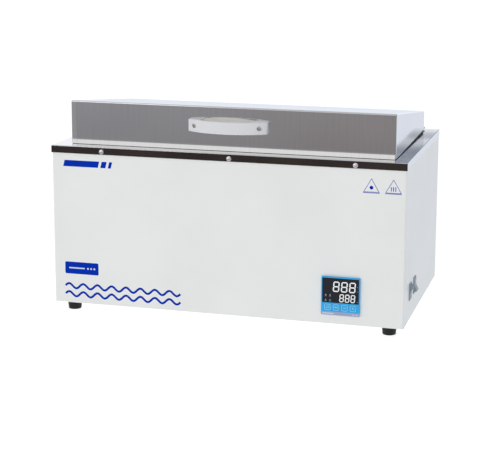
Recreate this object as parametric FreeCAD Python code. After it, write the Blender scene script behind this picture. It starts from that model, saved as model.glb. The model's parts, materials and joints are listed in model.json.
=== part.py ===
import FreeCAD, Part
import math
import os

from FreeCAD import Vector

# Laboratory water bath: painted sheet cabinet, stainless tank and deck, hinged wedge-shaped lid.
# Millimetres. +X to the right of the operator, +Y to the rear, +Z up.
# While it is built, X = 0 is the middle of the deck, Y = 0 the front edge of the deck and Z = 0
# the floor. Every piece is moved at the end so that the middle of the whole is at X = 0, Y = 0.

# ------------------------------------------------------------------ driving dimensions
WIDTH = 680.0                  # deck, side to side
DEPTH = 400.0                  # deck, front to rear
CABINET_HEIGHT = 306.0         # cabinet underside to the top of the deck
FOOT_HEIGHT = 18.0
SKIRT = 14.0                   # folded edge of the deck
SHEET = 1.2                    # painted steel
STEEL = 1.0                    # stainless steel

TANK_LENGTH = 600.0            # inside
TANK_WIDTH = 300.0
TANK_DEPTH = 180.0             # tank floor to the top of the deck
TANK_Y = 194.0                 # middle of the tank, from the front edge
TANK_CORNER = 13.0
INSULATION = 25.0

LID_X = 2.0                    # the lid sits a little to the right of the middle
LID_LENGTH = 624.0
LID_FRONT = 28.5               # front face of the lid
LID_REAR = 360.0
LID_FRONT_HEIGHT = 83.0        # above the deck
LID_REAR_HEIGHT = 42.0
LID_FRONT_GAP = 1.4            # under the lid's front wall
LID_REAR_GAP = 5.0             # under the lid's rear wall

HINGE_Y = 388.0                # pin of the long hinge
HINGE_RISE = 3.5               # pin above the deck
HINGE_LENGTH = 616.0
KNUCKLES = 11
KNUCKLE_RADIUS = 3.0
PIN_RADIUS = 1.5

HANDLE_LENGTH = 152.0
HANDLE_HEIGHT = 23.0
HANDLE_BOW = 32.0              # furthest reach in front of the lid
HANDLE_BASE = 36.0             # underside of the handle above the deck

PANEL_SIZE = 72.0              # square controller
PANEL_X = 223.0
KEY_SIZE = 12.1
KEY_PITCH = 15.8

SWITCH_Y = (69.0, 118.0)       # power switch, heater switch
SWITCH_TILT = 12.0             # rocker angle to each side of level, degrees
CONTROL_Z = 71.5               # middle height of the switches and the controller

DRAIN_X = -250.0
DRAIN_Y = 250.0                # outlet in the tank floor
DRAIN_Z = 75.0
VALVE_Y = 421.0                # middle of the ball valve

CLEAR = 0.2                    # between a fastener and its hole

# ------------------------------------------------------------------ derived levels
CABINET_Z = FOOT_HEIGHT
DECK_Z = CABINET_Z + CABINET_HEIGHT
UNDER_DECK = DECK_Z - STEEL
TANK_FLOOR = DECK_Z - TANK_DEPTH
SIDE = WIDTH / 2 - STEEL       # outer face of the cabinet sides, under the deck skirt
FRONT = STEEL                  # outer face of the cabinet front
REAR = DEPTH - STEEL           # outer face of the back panel
SHELL_REAR = REAR - SHEET
BASE_Z = CABINET_Z + SHEET     # underside of the base plate
FLANGE = 45.0                  # inward bottom flange that carries the feet
HINGE_Z = DECK_Z + HINGE_RISE
LID_TOP = DECK_Z + LID_FRONT_HEIGHT
LID_SLOPE = (LID_FRONT_HEIGHT - LID_REAR_HEIGHT) / (LID_REAR - LID_FRONT)
X_AXIS, Y_AXIS, Z_AXIS = 0, 1, 2


# ------------------------------------------------------------------ shape helpers
def block(x, y, z):
    """Box between the low and high value on each axis."""
    return Part.makeBox(x[1] - x[0], y[1] - y[0], z[1] - z[0], Vector(x[0], y[0], z[0]))


def around(middle, size):
    """Low and high value of a length centred on a point."""
    return (middle - size / 2, middle + size / 2)


def bar(start, direction, radius, length):
    return Part.makeCylinder(radius, length, Vector(*start), Vector(*direction))


def cone(start, direction, first_radius, last_radius, length):
    return Part.makeCone(first_radius, last_radius, length, Vector(*start), Vector(*direction))


def extruded(points, push):
    """Prism on a closed outline."""
    outline = Part.makePolygon([Vector(*p) for p in points + points[:1]])
    return Part.Face(outline).extrude(Vector(*push))


def hexagon(start, direction, across_flats, length):
    """Hexagonal bar along X, Y or Z."""
    radius = across_flats / math.sqrt(3)
    middle = Vector(*start)
    push = Vector(*direction)
    side = Vector(push.y, push.z, push.x)
    corners = []
    for turn in range(6):
        spoke = FreeCAD.Rotation(push, 60 * turn).multVec(side * radius)
        corners.append(tuple(middle + spoke))
    return extruded(corners, tuple(push * length))


def join(shapes):
    return shapes[0].fuse(shapes[1:]).removeSplitter() if len(shapes) > 1 else shapes[0]


def edges_along(shape, axis, keep=lambda middle: True):
    """Straight edges parallel to one axis whose middle passes a test."""
    found = []
    for edge in shape.Edges:
        if len(edge.Vertexes) != 2:
            continue
        step = edge.Vertexes[1].Point - edge.Vertexes[0].Point
        if step.Length > 0 and abs(abs(step[axis]) - step.Length) < 1e-6 and keep(edge.CenterOfMass):
            found.append(edge)
    return found


def rounded(shape, axis, radius, keep=lambda middle: True):
    return shape.makeFillet(radius, edges_along(shape, axis, keep))


def slot(x, y, z, axis):
    """Box with round ends, open along one axis."""
    body = block(x, y, z)
    spans = [x[1] - x[0], y[1] - y[0], z[1] - z[0]]
    spans.pop(axis)
    return rounded(body, axis, min(spans) / 2 - 0.01)


def bent_bar(points, bend, radius):
    """Round bar along straight runs joined by tangent arcs of one radius."""
    corners = [Vector(*p) for p in points]
    edges = []
    start = corners[0]
    for before, corner, after in zip(corners, corners[1:], corners[2:]):
        inward = (before - corner).normalize()
        outward = (after - corner).normalize()
        half = inward.getAngle(outward) / 2
        first = corner + inward * (bend / math.tan(half))
        last = corner + outward * (bend / math.tan(half))
        crown = corner + (inward + outward).normalize() * (bend / math.sin(half) - bend)
        edges.append(Part.LineSegment(start, first).toShape())
        edges.append(Part.Arc(first, crown, last).toShape())
        start = last
    edges.append(Part.LineSegment(start, corners[-1]).toShape())
    profile = Part.Wire(Part.Circle(corners[0], corners[1] - corners[0], radius).toShape())
    return Part.Wire(edges).makePipeShell([profile], True, False)


def pan_head_screw(seat, direction, shank_radius, shank_length, head_radius, head_height):
    """Screw whose head sits on its seat and whose shank runs the other way."""
    out = Vector(*direction)
    head = bar(seat, direction, head_radius, head_height)
    rim = [e for e in head.Edges if isinstance(e.Curve, Part.Circle)
           and (e.CenterOfMass - Vector(*seat)).dot(out) > head_height / 2]
    head = head.makeFillet(head_height * 0.6, rim)
    recess_start = Vector(*seat) + out * (head_height * 0.45)
    recess = hexagon(tuple(recess_start), direction, head_radius * 0.8, head_height)
    shank = bar(seat, tuple(-out), shank_radius, shank_length)
    return join([head.cut(recess), shank])


# ------------------------------------------------------------------ cabinet
FOOT_RADIUS = 14.2             # at the cabinet
FOOT_TIP_RADIUS = 12.2         # at the floor
FOOT_X = WIDTH / 2 - 31
FOOT_Y = (27.0, DEPTH - 27.0)
BACK_SCREW_X = SIDE - SHEET - 7
BACK_SCREW_Z = (45.0, 125.0, 205.0, 285.0)
GLAND_X, FUSE_X, EARTH_X = 250.0, 205.0, 295.0
SERVICE_Z = 60.0               # cable gland, fuse and earth stud


def switch_cutouts():
    return [block((SIDE - 5, SIDE + 5), around(y, 22.2), around(CONTROL_Z, 28.7)) for y in SWITCH_Y]


def make_cabinet_shell():
    """Front and both sides folded from one sheet, with inward flanges at the bottom and rear."""
    inner = SIDE - SHEET
    height = (CABINET_Z, UNDER_DECK)
    outside = block((-SIDE, SIDE), (FRONT, SHELL_REAR), height)
    outside = rounded(outside, Z_AXIS, 3.0, lambda m: m.y < DEPTH / 2)
    inside = block((-inner, inner), (FRONT + SHEET, DEPTH + 10), (0, DECK_Z + 10))
    inside = rounded(inside, Z_AXIS, 3.0 - SHEET, lambda m: m.y < DEPTH / 2)
    pieces = [outside.cut(inside)]
    floor = (CABINET_Z, BASE_Z)
    pieces.append(block((-inner, inner), (FRONT + SHEET, FLANGE), floor))
    for side in (-1, 1):
        reach = sorted((side * inner, side * (inner - FLANGE)))
        pieces.append(block(reach, (FRONT + SHEET, SHELL_REAR), floor))
        lip = sorted((side * inner, side * (inner - 14)))
        pieces.append(block(lip, (SHELL_REAR - SHEET, SHELL_REAR), (CABINET_Z, UNDER_DECK - 1)))
    shell = join(pieces)
    window = block(around(PANEL_X, 68), (-5, 10), around(CONTROL_Z, 68))
    holes = [window] + switch_cutouts()
    holes += [bar((x, y, 0), (0, 0, 1), 2.7, 40) for x in (-FOOT_X, FOOT_X) for y in FOOT_Y]
    holes += [bar((side * BACK_SCREW_X, SHELL_REAR - 5, z), (0, 1, 0), 1.75 + CLEAR, 10)
              for side in (-1, 1) for z in BACK_SCREW_Z]
    return shell.cut(Part.makeCompound(holes))


def make_base_plate():
    edge = SIDE - SHEET - 0.8
    plate = block((-edge, edge), (FRONT + SHEET + 0.8, SHELL_REAR - SHEET - 0.8), (BASE_Z, BASE_Z + SHEET))
    holes = [bar((x, y, 0), (0, 0, 1), 2.7, 40) for x in (-FOOT_X, FOOT_X) for y in FOOT_Y]
    for row_y in (110.0, 290.0):
        for column in range(14):
            x = -195 + 30 * column
            holes.append(slot(around(x, 5), around(row_y, 50), (BASE_Z - 1, BASE_Z + 3), Z_AXIS))
    return plate.cut(Part.makeCompound(holes))


LOUVRE_LENGTH = 80.0
LOUVRE_X = (-70.0, 70.0)
LOUVRE_Z = [75.0 + 16 * step for step in range(9)]


def louvre(x, z):
    """Pressed hood that opens downwards, and the slot cut behind it."""
    hood = extruded([(x, REAR - 0.5, z), (x, REAR + 4, z), (x, REAR + 4, z + 2), (x, REAR - 0.5, z + 10)],
                    (LOUVRE_LENGTH, 0, 0))
    hollow = extruded([(x + 1, REAR - 2, z - 1), (x + 1, REAR + 3, z - 1), (x + 1, REAR + 3, z + 1.5),
                       (x + 1, REAR - 2, z + 8)], (LOUVRE_LENGTH - 2, 0, 0))
    return hood, hollow


def make_back_panel():
    panel = block((-SIDE + SHEET + CLEAR, SIDE - SHEET - CLEAR), (SHELL_REAR, REAR),
                  (BASE_Z + SHEET + CLEAR, UNDER_DECK - 0.5))
    pairs = [louvre(x - LOUVRE_LENGTH / 2, z) for x in LOUVRE_X for z in LOUVRE_Z]
    panel = join([panel] + [hood for hood, hollow in pairs])
    holes = [hollow for hood, hollow in pairs]
    holes.append(bar((DRAIN_X, SHELL_REAR - 5, DRAIN_Z), (0, 1, 0), 10, 20))
    holes.append(bar((GLAND_X, SHELL_REAR - 5, SERVICE_Z), (0, 1, 0), 10.2, 20))
    holes.append(bar((FUSE_X, SHELL_REAR - 5, SERVICE_Z), (0, 1, 0), 6.2, 20))
    holes.append(bar((EARTH_X, SHELL_REAR - 5, SERVICE_Z), (0, 1, 0), 2.7, 20))
    holes += [bar((side * BACK_SCREW_X, SHELL_REAR - 5, z), (0, 1, 0), 1.75 + CLEAR, 20)
              for side in (-1, 1) for z in BACK_SCREW_Z]
    return panel.cut(Part.makeCompound(holes))


def make_back_panel_screws():
    return Part.makeCompound([pan_head_screw((side * BACK_SCREW_X, REAR, z), (0, 1, 0), 1.75, 8, 3.6, 2.2)
                              for side in (-1, 1) for z in BACK_SCREW_Z])


def make_foot(x, y):
    """Tapered rubber foot, counterbored from below for its screw."""
    foot = cone((x, y, 0), (0, 0, 1), FOOT_TIP_RADIUS, FOOT_RADIUS, FOOT_HEIGHT)
    foot = foot.makeFillet(1.0, [e for e in foot.Edges if e.CenterOfMass.z < 1 and len(e.Vertexes) == 1])
    foot = foot.cut(bar((x, y, -1), (0, 0, 1), 5.5, 9))
    return foot.cut(bar((x, y, 0), (0, 0, 1), 2.7, 20))


def make_foot_screws():
    return Part.makeCompound([pan_head_screw((x, y, 8), (0, 0, -1), 2.5, 16, 4.8, 3.2)
                              for x in (-FOOT_X, FOOT_X) for y in FOOT_Y])


# ------------------------------------------------------------------ deck and its trim
TRIM_SCREW_X = (-239.0, 10.0, 246.0)
TRIM_SCREW_Z = DECK_Z - 8.6
TRIM = 0.8                     # thickness of the dark strip
TRIM_HEAD_RADIUS = 4.8
TRIM_HEAD_HEIGHT = 2.4
HINGE_SCREW_X = [LID_X - 275 + 110 * step for step in range(6)]
HINGE_SCREW_Y = 373.0


def tank_opening(height, extra):
    """Plan of the tank mouth as a prism, widened all round."""
    mouth = block(around(0, TANK_LENGTH + 2 * extra), around(TANK_Y, TANK_WIDTH + 2 * extra), height)
    return rounded(mouth, Z_AXIS, TANK_CORNER + extra)


def make_top_deck():
    """Stainless deck with a folded skirt and the mouth of the tank."""
    outside = block((-WIDTH / 2, WIDTH / 2), (0, DEPTH), (DECK_Z - SKIRT, DECK_Z))
    outside = rounded(outside, Z_AXIS, 3.5)
    outside = outside.makeFillet(1.6, [e for e in outside.Edges if e.CenterOfMass.z > DECK_Z - 0.01])
    inside = block((-WIDTH / 2 + STEEL, WIDTH / 2 - STEEL), (STEEL, DEPTH - STEEL), (0, UNDER_DECK))
    inside = rounded(inside, Z_AXIS, 2.5, lambda m: m.y < DEPTH / 2)
    inside = rounded(inside, Z_AXIS, 1.0, lambda m: m.y > DEPTH / 2)
    deck = outside.cut(inside).cut(tank_opening((UNDER_DECK - 5, DECK_Z + 5), 1.0))
    holes = [bar((x, -5, TRIM_SCREW_Z), (0, 1, 0), 1.5 + CLEAR, 10) for x in TRIM_SCREW_X]
    holes += [bar((x, HINGE_SCREW_Y, DECK_Z - 5), (0, 0, 1), 2.0 + CLEAR, 10) for x in HINGE_SCREW_X]
    return deck.cut(Part.makeCompound(holes))


def make_front_trim():
    """Dark polished strip over the front skirt."""
    strip = block((-WIDTH / 2, WIDTH / 2), (-TRIM, 0), (DECK_Z - SKIRT + 0.2, DECK_Z - 0.9))
    strip = rounded(strip, Z_AXIS, 0.6, lambda m: m.y < -TRIM / 2)
    holes = [bar((x, -5, TRIM_SCREW_Z), (0, 1, 0), 1.5 + CLEAR, 10) for x in TRIM_SCREW_X]
    return strip.cut(Part.makeCompound(holes))


def make_trim_screws():
    """Three domed screws; the cabinet front is behind them, so the shanks are short."""
    screws = []
    sphere = (TRIM_HEAD_RADIUS ** 2 + TRIM_HEAD_HEIGHT ** 2) / (2 * TRIM_HEAD_HEIGHT)
    for x in TRIM_SCREW_X:
        head = Part.makeSphere(sphere, Vector(x, sphere - TRIM_HEAD_HEIGHT - TRIM, TRIM_SCREW_Z))
        head = head.common(bar((x, -TRIM, TRIM_SCREW_Z), (0, -1, 0), TRIM_HEAD_RADIUS, TRIM_HEAD_HEIGHT + 1))
        shank = bar((x, -TRIM, TRIM_SCREW_Z), (0, 1, 0), 1.5, TRIM + STEEL)
        screws.append(join([head, shank]))
    return Part.makeCompound(screws)


# ------------------------------------------------------------------ tank and what it holds
HEATER_Y = (144.0, 244.0)
HEATER_Z = TANK_FLOOR + 19
PROBE_Y = 285.0
PROBE_Z = TANK_FLOOR + 24
TANK_WALL = TANK_LENGTH / 2    # inner face of the end walls
CUTOUT_X = 100.0


def make_inner_tank():
    outside = tank_opening((TANK_FLOOR - STEEL, UNDER_DECK), STEEL)
    bottom_edges = [e for e in outside.Edges if e.CenterOfMass.z < TANK_FLOOR - STEEL + 0.01]
    outside = outside.makeFillet(6.0, bottom_edges)
    inside = tank_opening((TANK_FLOOR, DECK_Z + 5), 0)
    bottom_edges = [e for e in inside.Edges if e.CenterOfMass.z < TANK_FLOOR + 0.01]
    inside = inside.makeFillet(6.0 - STEEL, bottom_edges)
    flange = tank_opening((UNDER_DECK - STEEL, UNDER_DECK), 15)
    tank = join([outside, flange]).cut(inside)
    holes = [bar((TANK_WALL - 5, y, HEATER_Z), (1, 0, 0), 8 + CLEAR, 15) for y in HEATER_Y]
    holes.append(bar((TANK_WALL - 5, PROBE_Y, PROBE_Z), (1, 0, 0), 5 + CLEAR, 15))
    holes.append(bar((DRAIN_X, DRAIN_Y, TANK_FLOOR - 5), (0, 0, 1), 6.0, 10))
    return tank.cut(Part.makeCompound(holes))


def make_insulation():
    """Mineral wool jacket under and around the tank."""
    gap = 1.5
    low = TANK_FLOOR - STEEL - INSULATION
    jacket = block(around(0, TANK_LENGTH + 2 * (gap + INSULATION)),
                   around(TANK_Y, TANK_WIDTH + 2 * (gap + INSULATION)), (low, UNDER_DECK - STEEL - 0.2))
    jacket = rounded(jacket, Z_AXIS, 20.0)
    hollow = tank_opening((TANK_FLOOR - STEEL, DECK_Z + 5), gap)
    holes = [hollow]
    holes += [bar((TANK_WALL, y, HEATER_Z), (1, 0, 0), 16, 40) for y in HEATER_Y]
    holes.append(bar((TANK_WALL, PROBE_Y, PROBE_Z), (1, 0, 0), 12, 40))
    holes.append(bar((DRAIN_X, DRAIN_Y, low - 5), (0, 0, 1), 9.5, 40))
    holes.append(bar((CUTOUT_X, TANK_Y, low - 5), (0, 0, 1), 14, 40))
    return jacket.cut(Part.makeCompound(holes))


def make_heater_tube():
    """Sheathed element: one long hairpin whose two ends pass through the right-hand wall."""
    end = TANK_WALL + 18
    far = -240.0
    route = [(end, HEATER_Y[0], HEATER_Z), (far, HEATER_Y[0], HEATER_Z),
             (far, HEATER_Y[1], HEATER_Z), (end, HEATER_Y[1], HEATER_Z)]
    return bent_bar(route, 48.0, 5.0)


def make_heater_support():
    """Strip with two saddles that holds the hairpin off the tank floor."""
    x = around(-150, 16)
    foot = block(x, around(TANK_Y, 130), (TANK_FLOOR, TANK_FLOOR + 1.5))
    posts = [block(x, around(y, 16), (TANK_FLOOR, HEATER_Z)) for y in HEATER_Y]
    saddle = [bar((x[0] - 1, y, HEATER_Z), (1, 0, 0), 5.0, 18) for y in HEATER_Y]
    return join([foot] + posts).cut(Part.makeCompound(saddle))


def wall_gland(y, z, thread_radius, bore, across_flats):
    """Fitting through the tank's end wall: hexagon inside the tank, thread outside."""
    head = hexagon((TANK_WALL - 8, y, z), (1, 0, 0), across_flats, 8)
    thread = bar((TANK_WALL, y, z), (1, 0, 0), thread_radius, 12)
    return join([head, thread]).cut(bar((TANK_WALL - 10, y, z), (1, 0, 0), bore, 30))


def wall_nut(y, z, thread_radius, across_flats):
    nut = hexagon((TANK_WALL + STEEL, y, z), (1, 0, 0), across_flats, 6)
    return nut.cut(bar((TANK_WALL, y, z), (1, 0, 0), thread_radius, 12))


def make_heater_glands():
    return Part.makeCompound([wall_gland(y, HEATER_Z, 8, 5, 22) for y in HEATER_Y])


def make_gland_nuts():
    nuts = [wall_nut(y, HEATER_Z, 8, 22) for y in HEATER_Y]
    nuts.append(wall_nut(PROBE_Y, PROBE_Z, 5, 15))
    return Part.makeCompound(nuts)


def make_temperature_probe():
    tip = TANK_WALL - 120
    stem = bar((tip + 3, PROBE_Y, PROBE_Z), (1, 0, 0), 3, 135)
    return join([stem, Part.makeSphere(3, Vector(tip + 3, PROBE_Y, PROBE_Z))])


def make_thermal_cutout():
    """Snap-disc safety thermostat against the underside of the tank."""
    top = TANK_FLOOR - STEEL
    disc = bar((CUTOUT_X, TANK_Y, top), (0, 0, -1), 8, 5)
    body = bar((CUTOUT_X, TANK_Y, top - 5), (0, 0, -1), 7, 6)
    tabs = [block(around(CUTOUT_X, 6), around(TANK_Y + side * 4, 0.8), (top - 19, top - 11)) for side in (-1, 1)]
    return join([disc, body] + tabs)


SHELF_LENGTH = 592.0
SHELF_WIDTH = 284.0
SHELF_Z = TANK_FLOOR + 42      # underside of the plate
SHELF_SHEET = 1.2
SHELF_LEG_FLANGE = 9.0
SHELF_LIFT_X = (-200.0, 200.0)
LIFT_SLOT = (60.0, 20.0)
SHELF_HOLE_RADIUS = 4.5
SHELF_HOLE_PITCH = 30.0
SHELF_COLUMNS, SHELF_ROWS = 19, 9


def make_shelf():
    """Perforated false bottom with two oblong lifting slots."""
    shelf = block(around(0, SHELF_LENGTH), around(TANK_Y, SHELF_WIDTH), (SHELF_Z, SHELF_Z + SHELF_SHEET))
    shelf = rounded(shelf, Z_AXIS, 12.0)
    through = (SHELF_Z - 1, SHELF_Z + 3)
    holes = [slot(around(x, LIFT_SLOT[0]), around(TANK_Y, LIFT_SLOT[1]), through, Z_AXIS) for x in SHELF_LIFT_X]
    for column in range(SHELF_COLUMNS):
        for row in range(SHELF_ROWS):
            x = SHELF_HOLE_PITCH * (column - (SHELF_COLUMNS - 1) / 2)
            y = TANK_Y + SHELF_HOLE_PITCH * (row - (SHELF_ROWS - 1) / 2)
            beside_slot = min(abs(x - lift) for lift in SHELF_LIFT_X) < 42 and abs(y - TANK_Y) < 20
            if not beside_slot:
                holes.append(bar((x, y, through[0]), (0, 0, 1), SHELF_HOLE_RADIUS, 4))
    return shelf.cut(Part.makeCompound(holes))


def make_shelf_legs():
    """Two folded angles, spot welded under the long edges of the shelf, that stand on the tank floor."""
    legs = []
    for side in (-1, 1):
        outer = TANK_Y + side * SHELF_WIDTH / 2
        upright = sorted((outer, outer - side * SHELF_SHEET))
        flange = sorted((outer, outer - side * SHELF_LEG_FLANGE))
        length = around(0, SHELF_LENGTH - 26)
        legs.append(join([block(length, upright, (TANK_FLOOR + 0.1, SHELF_Z)),
                          block(length, flange, (SHELF_Z - SHELF_SHEET, SHELF_Z))]))
    return Part.makeCompound(legs)


# ------------------------------------------------------------------ drain
def make_drain_pipe():
    route = [(DRAIN_X, DRAIN_Y, TANK_FLOOR - STEEL), (DRAIN_X, DRAIN_Y, DRAIN_Z), (DRAIN_X, VALVE_Y - 13, DRAIN_Z)]
    return bent_bar(route, 30.0, 8.0).cut(bent_bar(route, 30.0, 6.0))


BALL = 10.0


def make_valve_body():
    middle = (DRAIN_X, VALVE_Y, DRAIN_Z)
    body = bar((DRAIN_X, VALVE_Y - 13, DRAIN_Z), (0, 1, 0), 14, 26)
    ends = [hexagon((DRAIN_X, VALVE_Y - 20, DRAIN_Z), (0, 1, 0), 25, 8),
            hexagon((DRAIN_X, VALVE_Y + 12, DRAIN_Z), (0, 1, 0), 25, 8)]
    neck = bar(middle, (0, 0, 1), 7, 21)
    body = join([body, neck] + ends)
    body = body.cut(bar((DRAIN_X, VALVE_Y - 30, DRAIN_Z), (0, 1, 0), 6, 60))
    body = body.cut(bar((DRAIN_X, VALVE_Y - 30, DRAIN_Z), (0, 1, 0), 8, 17))
    body = body.cut(bar((DRAIN_X, VALVE_Y + 13, DRAIN_Z), (0, 1, 0), 8, 17))
    body = body.cut(Part.makeSphere(BALL + 0.08, Vector(*middle)))
    return body.cut(bar(middle, (0, 0, 1), 3.06, 40))


def make_valve_ball():
    """Ball in its closed position, with the bore across the flow and a flat under the stem."""
    ball = Part.makeSphere(BALL, Vector(DRAIN_X, VALVE_Y, DRAIN_Z))
    ball = ball.cut(bar((DRAIN_X - 20, VALVE_Y, DRAIN_Z), (1, 0, 0), 5.5, 40))
    return ball.cut(block(around(DRAIN_X, 30), around(VALVE_Y, 30), (DRAIN_Z + 8.8, DRAIN_Z + 20)))


def make_valve_stem():
    stem = bar((DRAIN_X, VALVE_Y, DRAIN_Z + 8.8), (0, 0, 1), 3, 18.2)
    nut = hexagon((DRAIN_X, VALVE_Y, DRAIN_Z + 24.5), (0, 0, 1), 9, 3)
    return join([stem, nut])


def make_drain_lever():
    """Flat lever, closed when it lies across the flow, with a dipped plastic grip."""
    low = DRAIN_Z + 21.5
    arm = slot((DRAIN_X - 8, DRAIN_X + 62), around(VALVE_Y, 12), (low, low + 3), Z_AXIS)
    grip = slot((DRAIN_X + 18, DRAIN_X + 66), around(VALVE_Y, 16), (low - 2, low + 5), Z_AXIS)
    grip = grip.makeFillet(1.5, [e for e in grip.Edges if abs(e.CenterOfMass.z - low - 1.5) > 3])
    return join([arm, grip]).cut(bar((DRAIN_X, VALVE_Y, low - 5), (0, 0, 1), 3, 20))


NOZZLE_Y = VALVE_Y + 20
BARB_RADIUS = 6.5
NOZZLE_BORE = 4.5


def make_drain_nozzle():
    """Hose nozzle with three barbs, screwed into the valve."""
    nozzle = [bar((DRAIN_X, VALVE_Y + 13, DRAIN_Z), (0, 1, 0), 8, 7),
              hexagon((DRAIN_X, NOZZLE_Y, DRAIN_Z), (0, 1, 0), 21, 5),
              bar((DRAIN_X, NOZZLE_Y + 5, DRAIN_Z), (0, 1, 0), BARB_RADIUS, 28)]
    for step in range(3):
        nozzle.append(cone((DRAIN_X, NOZZLE_Y + 17 + 5.5 * step, DRAIN_Z), (0, 1, 0), 7.6, BARB_RADIUS, 5))
    return join(nozzle).cut(bar((DRAIN_X, VALVE_Y, DRAIN_Z), (0, 1, 0), NOZZLE_BORE, 80))


# ------------------------------------------------------------------ lid
def lid_top_at(y):
    return LID_TOP - LID_SLOPE * (y - LID_FRONT)


def lid_bottom_at(y):
    rise = (LID_REAR_GAP - LID_FRONT_GAP) / (LID_REAR - LID_FRONT)
    return DECK_Z + LID_FRONT_GAP + rise * (y - LID_FRONT)


def lid_wedge(inset, bottom_drop, radius):
    """Wedge-shaped box, pulled in on all faces but the bottom and rounded there."""
    front = LID_FRONT + inset
    rear = LID_REAR - inset
    thickness = inset / math.cos(math.atan(LID_SLOPE))
    left = LID_X - LID_LENGTH / 2 + inset
    outline = [(left, front, lid_bottom_at(front) - bottom_drop), (left, front, lid_top_at(front) - thickness),
               (left, rear, lid_top_at(rear) - thickness), (left, rear, lid_bottom_at(rear) - bottom_drop)]
    wedge = extruded(outline, (LID_LENGTH - 2 * inset, 0, 0))
    soft = [e for e in wedge.Edges if max(v.Z for v in e.Vertexes) > LID_REAR_HEIGHT / 2 + DECK_Z]
    return wedge.makeFillet(radius, soft)


def handle_screw_x():
    return [LID_X + side * 62 for side in (-1, 1)]


def make_lid_shell():
    """Folded stainless lid with a lapped seam up the left end of the front."""
    shell = lid_wedge(0, 0, 2.6).cut(lid_wedge(STEEL, 20, 1.7))
    left = LID_X - LID_LENGTH / 2
    lap = block((left + 2.2, left + 11), (LID_FRONT - 0.5, LID_FRONT + 0.2), (DECK_Z + 1.5, LID_TOP - 4))
    shell = join([shell, lap])
    middle = DECK_Z + HANDLE_BASE + HANDLE_HEIGHT / 2
    holes = [bar((x, LID_FRONT - 5, middle), (0, 1, 0), 2 + CLEAR, 10) for x in handle_screw_x()]
    holes += [bar((x, LID_REAR - 5, z), (0, 1, 0), 1.6 + CLEAR, 10) for x, z in rivet_places()]
    return shell.cut(Part.makeCompound(holes))


def make_lid_gasket():
    """Black rubber strip all round the inside of the lid's lower edge."""
    x = around(LID_X, LID_LENGTH - 2 * STEEL)
    y = (LID_FRONT + STEEL, LID_REAR - STEEL)
    outside = rounded(block(x, y, (DECK_Z + 0.2, DECK_Z + 8)), Z_AXIS, 2.0)
    inside = block((x[0] + 5, x[1] - 5), (y[0] + 5, y[1] - 5), (DECK_Z - 5, DECK_Z + 20))
    return outside.cut(inside)


PAD_INNER = 51.0               # half length of the finger opening
BACK_PLATE = 2.6


def handle_outline(reach, half_length, sagitta, low):
    """Plan of the bow: flat against the lid, arched in front."""
    face = LID_FRONT
    end = reach - sagitta
    points = [Vector(LID_X - half_length, face, low), Vector(LID_X - half_length, face - end, low),
              Vector(LID_X, face - reach, low), Vector(LID_X + half_length, face - end, low),
              Vector(LID_X + half_length, face, low)]
    edges = [Part.LineSegment(points[0], points[1]).toShape(), Part.Arc(points[1], points[2], points[3]).toShape(),
             Part.LineSegment(points[3], points[4]).toShape(), Part.LineSegment(points[4], points[0]).toShape()]
    return Part.Face(Part.Wire(edges))


def make_lid_handle():
    """Moulded bow handle: two solid pads, a curved grip and a back plate with an arched top."""
    low = DECK_Z + HANDLE_BASE
    body = handle_outline(HANDLE_BOW, HANDLE_LENGTH / 2, 23.0, low).extrude(Vector(0, 0, HANDLE_HEIGHT))
    body = rounded(body, Z_AXIS, 5.0, lambda m: m.y < LID_FRONT - 3)
    outer_edges = [e for e in body.Edges if e.CenterOfMass.y < LID_FRONT - 1
                   and abs(e.BoundBox.ZLength) < 0.01]
    body = body.makeFillet(1.6, outer_edges)
    opening = handle_outline(HANDLE_BOW - 3.6, PAD_INNER, 11.0, low - 1).extrude(Vector(0, 0, HANDLE_HEIGHT + 2))
    opening = rounded(opening, Z_AXIS, 4.5, lambda m: m.y < LID_FRONT - 3)
    plate_side = block(around(LID_X, 200), (LID_FRONT - BACK_PLATE, LID_FRONT + 5), (low - 5, low + 60))
    body = body.cut(opening.cut(plate_side))
    arch_radius = (PAD_INNER ** 2 + 16) / 8
    arch = bar((LID_X, LID_FRONT - BACK_PLATE, low + HANDLE_HEIGHT + 4 - arch_radius), (0, 1, 0),
               arch_radius, BACK_PLATE)
    arch = arch.common(block(around(LID_X, 2 * PAD_INNER), (LID_FRONT - 5, LID_FRONT), (low + 10, low + 60)))
    body = join([body, arch])
    middle = low + HANDLE_HEIGHT / 2
    for x in handle_screw_x():
        body = body.cut(bar((x, LID_FRONT - 40, middle), (0, 1, 0), 2 + CLEAR, 50))
        body = body.cut(bar((x, LID_FRONT - 40, middle), (0, 1, 0), 4.2, 29))
    return body


def make_handle_screws():
    middle = DECK_Z + HANDLE_BASE + HANDLE_HEIGHT / 2
    return Part.makeCompound([pan_head_screw((x, LID_FRONT - 11, middle), (0, -1, 0), 2, 18, 3.7, 2.4)
                              for x in handle_screw_x()])


def knuckle_span(index):
    """X range of one knuckle of the long hinge."""
    pitch = HINGE_LENGTH / KNUCKLES
    start = LID_X - HINGE_LENGTH / 2 + pitch * index
    return (start + 0.25, start + pitch - 0.25)


def hinge_leaf(first, level, plate_y):
    """One leaf: a plate and every second knuckle, bored for the pin."""
    pieces = [block(around(LID_X, HINGE_LENGTH), plate_y, level)]
    for index in range(first, KNUCKLES, 2):
        x = knuckle_span(index)
        pieces.append(bar((x[0], HINGE_Y, HINGE_Z), (1, 0, 0), KNUCKLE_RADIUS, x[1] - x[0]))
        pieces.append(block(x, (plate_y[1] - 1, HINGE_Y), level))
    leaf = join(pieces)
    return leaf.cut(bar((LID_X - HINGE_LENGTH, HINGE_Y, HINGE_Z), (1, 0, 0), PIN_RADIUS + 0.06, 2 * HINGE_LENGTH))


def rivet_places():
    return [(LID_X - 275 + 110 * step, DECK_Z + 16) for step in range(6)]


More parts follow.
